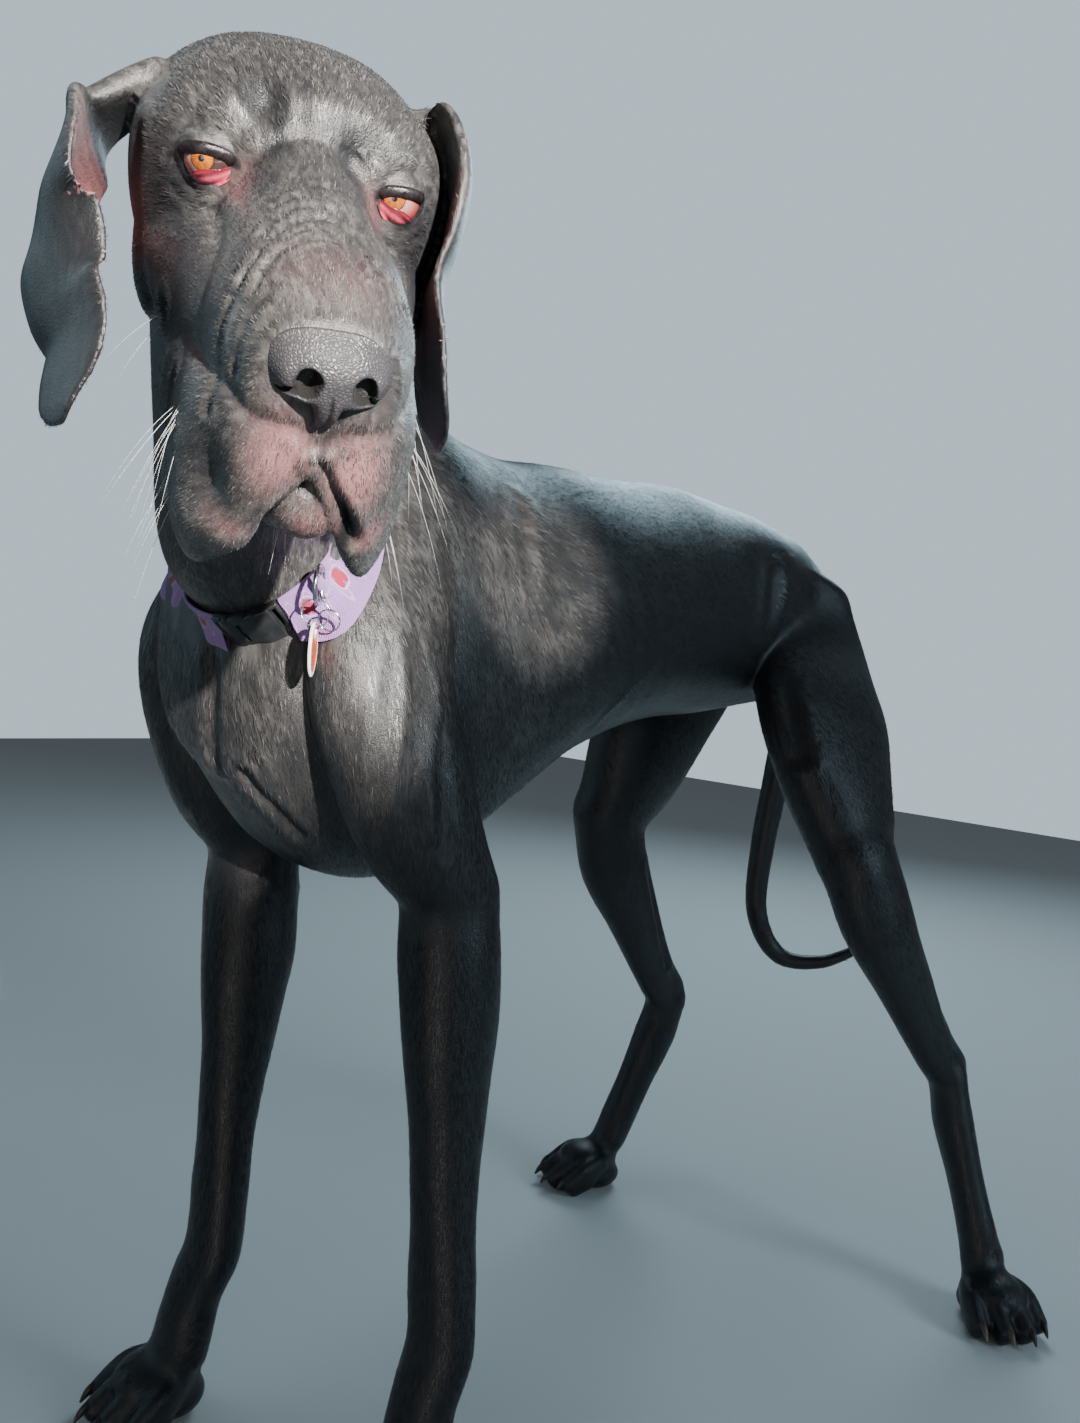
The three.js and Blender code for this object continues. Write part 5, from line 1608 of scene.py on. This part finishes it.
webbing = webbingMaterial(strapLook)
form, colours = strapGrid(strapLook["start"], strapLook["end"], strapLook, 420)
formedPiece("collar_webbing", [form], webbing, "webbing", ["webbing_nape", "webbing_left", "webbing_right"],
            strap=[colours])

# the loop that holds the D-ring, a band stood on edge across the strap

keeperLook = {"at": (63.4, -44.1), "reach": 27.0, "thick": 3.4, "low": 80.6, "high": 90.4}


def keeperTube(look):
    # a rounded oblong carried across the strap, with a waist where the ring's wire lies
    x, y = look["at"]
    theta = math.atan2(y, x)
    out = math.cos(theta) * collarAcross + math.sin(theta) * collarUp
    middle, deep = (look["low"] + look["high"]) / 2, (look["high"] - look["low"]) / 2
    stations = []
    for w, swell in ((-13.5, 0.92), (-9, 1.0), (0, 1.0), (4, 1.04), (6.4, 1.1), (9, 1.04), (13.5, 0.92)):
        at = collarAt + out * middle + collarAlong * w
        stations.append((at, look["thick"] * swell, deep * swell**0.5, deep, 4.0))
    return ovalTube(stations, out, around=40, rings=60, capRings=4, capStart=0.4, capEnd=0.4)


grid = keeperTube(keeperLook)
t = np.linspace(0, 1, len(grid))[:, None] + np.zeros(grid.shape[1])
turn = np.arange(grid.shape[1]) / grid.shape[1]
strap = np.stack([0.006 + 0.004 * turn + 0 * t, t, 0 * t, 0 * t + 1], -1)
strap = [closedTube(strap)[0]]
formedPiece("collar_keeper", [closedTube(grid)], webbing, "webbing", ["keeper"], strap=strap)

# the side-release buckle: two shells, their prongs, and bars for the webbing

buckleLook = {
    "path": [(7, -84.5), (18, -84.5), (30, -81.5), (41, -77), (49.5, -70.5)],
    "colour": (0.010, 0.011, 0.012, 1.0), "second": (0.022, 0.024, 0.026, 1.0),
    "scale": 90.0, "rough": 0.36, "bump": 0.5,
}
# first and last place along the buckle, half widths at both ends and between, half thickness,
# aside, squareness
buckleParts = [
    (0.40, 0.86, (10.5, 13.6, 13.2), (4.0, 5.2, 4.4), 0.0, 6.0),
    (0.12, 0.34, (12.2, 13.2, 11.0), (3.6, 4.6, 3.8), 0.0, 6.0),
    (0.28, 0.52, (2.8, 3.2, 3.0), (3.4, 3.8, 3.4), 10.2, 4.0),
    (0.28, 0.52, (2.8, 3.2, 3.0), (3.4, 3.8, 3.4), -10.2, 4.0),
    (0.28, 0.46, (3.0, 3.0, 3.0), (2.4, 2.6, 2.4), 0.0, 4.0),
    (-0.02, 0.035, (13.4, 13.6, 13.4), (3.0, 3.2, 3.0), 0.0, 5.0),
    (0.965, 1.02, (13.4, 13.6, 13.4), (3.0, 3.2, 3.0), 0.0, 5.0),
    (-0.01, 0.16, (1.5, 1.6, 1.6), (2.8, 3.0, 3.2), 12.2, 4.0),
    (-0.01, 0.16, (1.5, 1.6, 1.6), (2.8, 3.0, 3.2), -12.2, 4.0),
    (0.82, 1.01, (1.6, 1.6, 1.5), (3.2, 3.0, 2.8), 12.2, 4.0),
    (0.82, 1.01, (1.6, 1.6, 1.5), (3.2, 3.0, 2.8), -12.2, 4.0),
]


def bucklePart(look, first, last, wide, thick, aside, square):
    # a squared oval carried along the buckle's curve
    places = curveThrough(look["path"], np.linspace(first, last, 3).clip(0, 1))
    ends = curveThrough(look["path"], [0.0, 0.02, 0.98, 1.0])
    if first < 0:
        places[0] = ends[0] + (ends[0] - ends[1]) * (-first / 0.02)
    if last > 1:
        places[-1] = ends[3] + (ends[3] - ends[2]) * ((last - 1) / 0.02)
    at = collarAt + places @ np.array([collarAcross, collarUp]) + collarAlong * aside
    outward = np.array([28.0, -80.0]) @ np.array([collarAcross, collarUp])
    stations = [(p, w, t, t, square) for p, w, t in zip(at, wide, thick)]
    return ovalTube(stations, outward, around=56, rings=24, capRings=5, capStart=0.9, capEnd=0.9)


forms = [closedTube(bucklePart(buckleLook, *part)) for part in buckleParts]
formedPiece("collar_buckle", forms, wornMaterial("blackPlastic", buckleLook), "plastic", ["buckle"])

# the D-ring, two split rings and the tag

ringAt = np.array([102.8, -412.0, 636.0])
ringFacing, ringBeside = np.array([0.637, -0.771, 0]), np.array([0.771, 0.637, 0])
upright = np.array([0, 0, 1.0])
steelLook = {"colour": (0.58, 0.58, 0.60, 1.0), "second": (0.42, 0.42, 0.44, 1.0), "scale": 120.0,
             "rough": 0.2, "bump": 0.12, "metal": 1.0}
ringSizes = {"d": (11.5, 1.5), "large": (8.6, 0.9), "small": (6.8, 0.8)}  # radius, half thickness of wire
tagLook = {"wide": 21.0, "high": 34.0, "thick": 2.0, "hole": 2.6, "edge": 2.0,
           "enamel": (0.60, 0.085, 0.025, 1.0), "rim": (0.80, 0.78, 0.76, 1.0)}


def dRingGrid(radius, thick):
    # round in front, squared behind where the keeper holds it: |x|^p + |z|^p = 1, p 2 or 3.4
    a = angles(96)
    power = np.where(np.cos(a) < 0, 2 / 3.4, 1.0)
    x, z = (radius * squared(wave, power)[:, None] for wave in (np.cos(a), np.sin(a)))
    path = ringAt + x * ringFacing + z * upright
    return wire(path, thick, ringBeside, 16)


def splitRing(middle, first, second, radius, thick):
    # two turns of wire side by side, its ends overlapping a little
    a = np.linspace(0, 4.15 * math.pi, 150)
    axis = np.cross(first, second)
    shift = np.clip((a - 2 * math.pi) / 0.9, -1, 1) * thick * 0.52
    turn = np.cos(a)[:, None] * first + np.sin(a)[:, None] * second
    path = middle + radius * turn + shift[:, None] * axis
    return capped(wire(path, thick * 0.52, axis, 10, False))


def tagRing(middle, look, around=96):
    # a disc with a hole: from the hole's edge out to the oval's edge over the front, and back
    # over the other face, with rounded edges and a raised rim
    a = angles(around)
    hole = np.array([0.0, look["high"] / 2 - look["hole"] - look["edge"]])
    inner = hole + look["hole"] * np.stack([np.cos(a), np.sin(a)], -1)
    outer = np.stack([look["wide"] / 2 * np.cos(a), look["high"] / 2 * np.sin(a)], -1)
    s = np.array([0.0, 0.02, 0.06, 0.10, 0.14, 0.5, 0.86, 0.90, 0.94, 0.98, 1.0])
    lift = np.array([0.3, 0.8, 1.0, 1.0, 0.74, 0.74, 0.74, 1.0, 1.0, 0.8, 0.3]) * look["thick"] / 2
    s = np.concatenate([s, s[::-1]])
    lift = np.concatenate([lift, -lift[::-1]])
    flat = inner[:, None] * (1 - s[:, None]) + outer[:, None] * s[:, None]
    grid = middle + flat[..., :1] * ringFacing + flat[..., 1:] * upright + lift[:, None] * ringBeside
    rim = np.where((s < 0.12) | (s > 0.88), 1.0, 0.0) + np.zeros((around, 1))
    return closedRing(grid), np.stack([rim, 0 * rim, 0 * rim, 0 * rim + 1], -1).reshape(-1, 4)


def enamelMaterial(look):
    # orange-red enamel inside a pale rim, with specks and smudges
    material, board = newMaterial("tagEnamel")
    rim, _, _ = board.split(board.own("tone")["Color"])
    smudges = board.add("Group", node_tree=wear, Vector=board.place(), Scale=160.0).outputs["Smudge"]
    share = board.span(smudges, 0.4, 0.75, 0.0, 0.35)
    enamel = board.blend(share, look["enamel"], tuple(0.5 * c for c in look["enamel"][:3]) + (1.0,))
    board.shade(BaseColor=board.blend(board.span(rim, 0.35, 0.65), enamel, look["rim"]), CoatWeight=0.5,
                Roughness=board.span(smudges, 0.3, 0.7, 0.16, 0.34))
    return material


steel = wornMaterial("brushedSteel", steelLook)
formedPiece("d_ring_steel", [closedRing(dRingGrid(*ringSizes["d"]))], steel, "metal", ["d_ring"])
# The large ring hangs inside the D-ring, and the small ring and the tag inside the large one,
# each a little clear of what holds it.
(holdingRadius, holdingWire), (largeRadius, largeWire), _ = ringSizes.values()
ringGap, ringAside, smallReach = 0.3, ringBeside * -0.6, 9.4
drop = holdingRadius + largeRadius - holdingWire - largeWire - ringGap
largeAt = ringAt + ringAside - upright * drop
smallLine = ringBeside * 0.919 - upright * 0.395
tilt = math.radians(22)
smallCross = (ringBeside * 0.395 + upright * 0.919) * math.cos(tilt) + ringFacing * math.sin(tilt)
for label, middle, first, second in (("large", largeAt, ringBeside, upright),
                                     ("small", largeAt + smallLine * smallReach, smallLine, smallCross)):
    name = "split_ring_" + label
    grid = splitRing(middle, first, second, *ringSizes[label])
    formedPiece(name + "_steel", [closedTube(grid)], steel, "metal", [name])
tagDrop = -drop - largeRadius + largeWire + ringGap + tagLook["edge"] - tagLook["high"] / 2
tagAt = ringAt + ringAside + upright * tagDrop
form, colours = tagRing(tagAt, tagLook)
formedPiece("tag_disc", [form], enamelMaterial(tagLook), "tag", ["tag"], tone=[colours])
print("dane: collar in place")

# the coat: short tufts of three triangles that lie along the body

tuftLook = {
    "head": {"seed": 3, "count": 66000, "length": 5.6, "width": 0.54, "lift": 0.15},
    "face": {"seed": 4, "count": 66000, "length": 6.2, "width": 0.60, "lift": 0.13},
    "front": {"seed": 5, "count": 66000, "length": 8.5, "width": 0.75, "lift": 0.10},
    "rear": {"seed": 7, "count": 62000, "length": 8.0, "width": 0.9, "lift": 0.10},
}


def sided(guides):
    # each guide and its mirror image on the other side
    return guides + [((-x, y, z), (-a, b, c)) for (x, y, z), (a, b, c) in guides if abs(x) > 1 or abs(a) > 0]


# places and the way the hair lies there
headHair = sided([
    ((0, 130, 6), (0, -1, 0.15)), ((0, 80, 12), (0.1, -1, 0.1)), ((14, 30, 20), (0.1, -1, 0.3)),
    ((16, -20, 42), (0.15, -1, 0.2)), ((20, -80, 40), (0.1, -1, -0.2)),
    ((46, 90, -40), (0.1, -0.9, -0.45)), ((46, 80, -100), (0.1, -0.45, -0.9)),
    ((60, 10, -60), (0.1, -0.95, -0.35)), ((75, -50, -40), (0, -0.9, -0.5)),
    ((45, 16, -20), (0.2, -0.95, -0.2)), ((42, -6, 26), (0.4, -0.9, 0.2)),
    ((70, -30, 10), (0.1, -1, -0.1)), ((10, 110, -118), (0, -1, -0.1)), ((10, 20, -112), (0, -1, -0.1)),
    ((8, 150, -60), (0.1, -0.2, -1)), ((20, 140, -75), (0.3, -0.3, -1)), ((30, 30, 2), (0.3, -0.9, 0.2)),
])
bodyHair = sided([
    ((0, -420, 600), (0, -0.1, -1)), ((60, -410, 560), (0.3, 0, -1)), ((0, -400, 500), (0, 0.3, -1)),
    ((30, -450, 700), (-0.1, 0.3, -1)), ((90, -380, 740), (0.1, 0.7, -0.7)),
    ((0, -300, 800), (0, 0.9, -0.4)), ((0, -200, 770), (0, 1, 0)), ((0, 0, 776), (0, 1, 0)),
    ((0, 250, 770), (0, 1, -0.2)), ((0, 400, 690), (0, 0.4, -1)), ((120, -300, 650), (0, 0.35, -1)),
    ((130, -320, 520), (0, 0.2, -1)), ((115, -100, 640), (0, 0.9, -0.45)),
    ((95, 100, 650), (0, 0.9, -0.4)), ((0, -100, 510), (0, 1, 0)), ((0, 100, 555), (0, 1, 0.1)),
    ((140, 300, 600), (0, 0.45, -0.9)), ((140, 250, 500), (0, 0.3, -1)),
    ((110, -290, 300), (0, 0.05, -1)), ((110, -310, 140), (0, 0, -1)),
]) + [
    ((210, 260, 310), (0.2, 0.5, -0.9)), ((-85, 240, 310), (0, 0.5, -0.9)),
    ((285, 320, 130), (0.2, 0, -1)), ((-88, 280, 130), (0, -0.1, -1)),
    ((150, -360, 30), (0, -0.9, -0.35)), ((-84, -390, 30), (-0.15, -0.9, -0.35)),
    ((345, 285, 30), (0.7, -0.6, -0.35)), ((-122, 205, 30), (-0.5, -0.75, -0.35)),
    ((-25, 440, 560), (0, 0.05, -1)), ((-36, 432, 380), (0, 0, -1)), ((-20, 440, 265), (0.8, 0.3, -0.2)),
    ((50, 480, 265), (0.85, 0.5, 0.3)),
]
earHair = [
    ((128, -592, 842), (0.1, -0.5, -0.8)), ((130, -605, 780), (0, 0, -1)),
    ((136, -602, 730), (0, 0, -1)), ((220, -450, 868), (0.2, 0.3, -0.8)), ((232, -455, 790), (0, 0, -1)),
    ((238, -457, 730), (0, 0, -1)),
]
headPlaces, headWays = zip(*headHair)
otherPlaces, otherWays = zip(*(bodyHair + earHair))
hairPlaces = np.concatenate([inHead(headPlaces), np.array(otherPlaces, float)])
hairWays = np.concatenate([unit(headWays) @ headAxes, unit(otherWays)])


def hairDirection(points, normals):
    # the guides' directions weighted by 1 / (distance^2 + 20^2)^2, laid along the surface
    way = np.zeros_like(points)
    for part in np.array_split(np.arange(len(points)), 12):
        gap = ((points[part][:, None] - hairPlaces[None]) ** 2).sum(-1)
        way[part] = (1.0 / (gap + 400.0) ** 2) @ hairWays
    return unit(way - normals * (way * normals).sum(-1, keepdims=True))


def combed(points, edges, ways, rounds=6):
    # chance values, each averaged again and again with its neighbours along the lie of the hair
    # and then spread evenly over 0 to 1, so that they form strokes
    value = np.random.default_rng(11).random(len(points))
    first, second = edges.T
    run = unit(points[second] - points[first])
    near = np.abs((run * ways[first]).sum(1)) ** 10 + 1e-4
    far = np.abs((run * ways[second]).sum(1)) ** 10 + 1e-4
    total = np.bincount(first, near, len(points)) + np.bincount(second, far, len(points))
    for _ in range(rounds):
        beside = np.bincount(first, near * value[second], len(points))
        beside += np.bincount(second, far * value[first], len(points))
        value = 0.45 * value + 0.55 * beside / total
    return value.argsort().argsort() / len(points)


def unwrapped(piece):
    # the corners of a skin's own unwrap, which is then taken off it again
    mesh = piece.data
    mesh.uv_layers.new(name="unwrap")
    bpy.context.view_layer.objects.active = piece
    piece.select_set(True)
    bpy.ops.object.mode_set(mode="EDIT")
    bpy.ops.mesh.select_all(action="SELECT")
    bpy.ops.uv.smart_project(angle_limit=1.15, island_margin=0.0)
    bpy.ops.object.mode_set(mode="OBJECT")
    piece.select_set(False)
    layer = mesh.uv_layers["unwrap"]
    corners = readOut(layer.uv, "vector", 2)
    mesh.uv_layers.remove(layer)
    return corners


def tuftMesh(name, mesh, corners, look, chosen, share):
    # Roots are spread over the chosen triangles by area and by a share of each vertex. A tuft is
    # root + way * length t + normal * length lift (t - 0.6 t^2), as wide as its half width there.
    random = np.random.default_rng(look["seed"])
    mesh.calc_loop_triangles()
    triangles, loops = (readOut(mesh.loop_triangles, field, 3, np.int64) for field in ("vertices", "loops"))
    points, normals = pointsOf(mesh), normalsOf(mesh)
    keep = chosen[triangles].all(1)
    triangles, loops = triangles[keep], loops[keep]
    a, b, c = (points[triangles[:, k]] for k in range(3))
    weight = np.linalg.norm(np.cross(b - a, c - a), axis=1) * share[triangles].mean(1)
    count = look["count"] // 1
    face = random.choice(len(triangles), count, p=weight / weight.sum())
    u, v = random.random(count), random.random(count)
    over = u + v > 1
    u, v = np.where(over, 1 - u, u), np.where(over, 1 - v, v)
    bary = np.stack([1 - u - v, u, v], -1)[..., None]
    root = (points[triangles[face]] * bary).sum(1)
    normal = unit((normals[triangles[face]] * bary).sum(1))
    place = (corners[loops[face]] * bary).sum(1)
    way = unit(hairDirection(root, normal) + random.normal(0, 0.13, (count, 3)))
    way = unit(way - normal * (way * normal).sum(-1, keepdims=True))
    beside = np.cross(way, normal)
    height, onEar = root[:, 2], nearEar(root)
    left, forward, _ = ofHead(root).T
    size = 1 - 0.38 * (np.clip((forward + 40) / 90, 0, 1) * (np.abs(left) < 70) * (height > 600))
    size *= np.where(height < 90, 0.5 + 0.5 * height / 90, 1.0) * (1 - 0.55 * onEar)
    length = (look["length"] * size * random.uniform(0.7, 1.25, count))[:, None]
    half = (look["width"] / 2 * size * random.uniform(0.75, 1.2, count))[:, None]
    lift = look["lift"] * random.uniform(0.5, 1.6, (count, 1)) * (1 - 0.6 * onEar)[:, None]
    strip = []
    for t, wide in ((0.0, 1.0), (0.5, 0.8), (1.0, 0.0)):
        middle = root + way * (length * t) + normal * (length * lift * (t - 0.6 * t * t) - 0.25 * (1 - t))
        strip += [middle - beside * half * wide, middle + beside * half * wide] if wide > 0 else [middle]
    made = np.stack(strip, 1)
    first = np.arange(count)[:, None] * 5
    faces = np.stack([first + [0, 1, 3], first + [0, 3, 2], first + [2, 3, 4]], 1).reshape(-1, 3)
    tufts = newMesh(name, made.reshape(-1, 3), [faces])
    layer = tufts.uv_layers.new(name="OFBake")
    shift = np.array([(-1, -1), (1, -1), (-0.8, 0), (0.8, 0), (0, 1)]) * 0.0015
    uv = (place[:, None] + shift)[:, [0, 1, 3, 0, 3, 2, 2, 3, 4]]
    layer.uv.foreach_set("vector", np.clip(uv, 0, 1).reshape(-1))
    strand = np.repeat(random.random(count), 5) * 0.8 + np.tile([0, 0, 0.1, 0.1, 0.2], count)
    setColours(tufts, "strand", np.stack([strand, strand, strand, np.ones_like(strand)], -1))
    setColours(tufts, "marks", np.repeat(marksFor(root), 5, axis=0))
    return tufts


for label, piece in (("head", headPiece), ("body", bodyPiece)):
    mesh = piece.data
    points, corners = pointsOf(mesh), unwrapped(piece)
    marks = marksFor(points)
    marks[:, 3] = combed(points, edgesOf(mesh), hairDirection(points, normalsOf(mesh)))
    mesh.attributes["marks"].data.foreach_set("color", marks.astype(np.float32).ravel())
    share = np.clip(1.15 - 1.6 * marks[:, 2], 0, 1) * np.clip(1.1 - 0.9 * marks[:, 0], 0.12, 1)
    share *= 1 - nearEar(points) * np.clip(3 * marks[:, 0], 0, 1)
    past = pastCollar(points)
    if label == "head":
        left, forward, up = ofHead(points).T
        chosen = past > 10
        for look in eyes.values():
            chosen &= np.linalg.norm(points - eyeFrame(look)[0], axis=1) > 15.0
        chosen &= ~((forward > 140) & (up > -34) & (np.abs(left) < 26))  # the nose stays bare
        share *= 1 + 0.8 * np.clip(forward / 60, 0, 1)
        parts = {"head": chosen & (forward <= -22), "face": chosen & (forward > -22)}
    else:
        parts = {"front": (past < -10) & (points[:, 1] < -120), "rear": points[:, 1] >= -124}
    for name, chosen in parts.items():
        tufts = tuftMesh("tufts_" + name, mesh, corners, tuftLook[name], chosen, share)
        addPiece("tufts_" + name, tufts, tuftMaterial)
        print("dane: tufts of the", name, len(tufts.polygons), "faces")

# floor

floorLook = {"size": 9.0, "colour": (0.66, 0.66, 0.65, 1.0), "second": (0.6204, 0.6204, 0.611, 1.0)}


def addFloor(look):
    half = look["size"] * 500
    corners = np.array([[-half, -half, 0], [half, -half, 0], [half, half, 0], [-half, half, 0]], float)
    mesh = newMesh("floor", corners, [np.array([[0, 1, 2, 3]])])
    material, board = newMaterial("paleFloor")
    speck = board.add("TexNoise", Scale=6.0, Detail=3.0).outputs["Fac"]
    board.shade(BaseColor=board.blend(speck, look["colour"], look["second"]), Roughness=0.8)
    mesh.materials.append(material)
    linked("floor", mesh)


addFloor(floorLook)
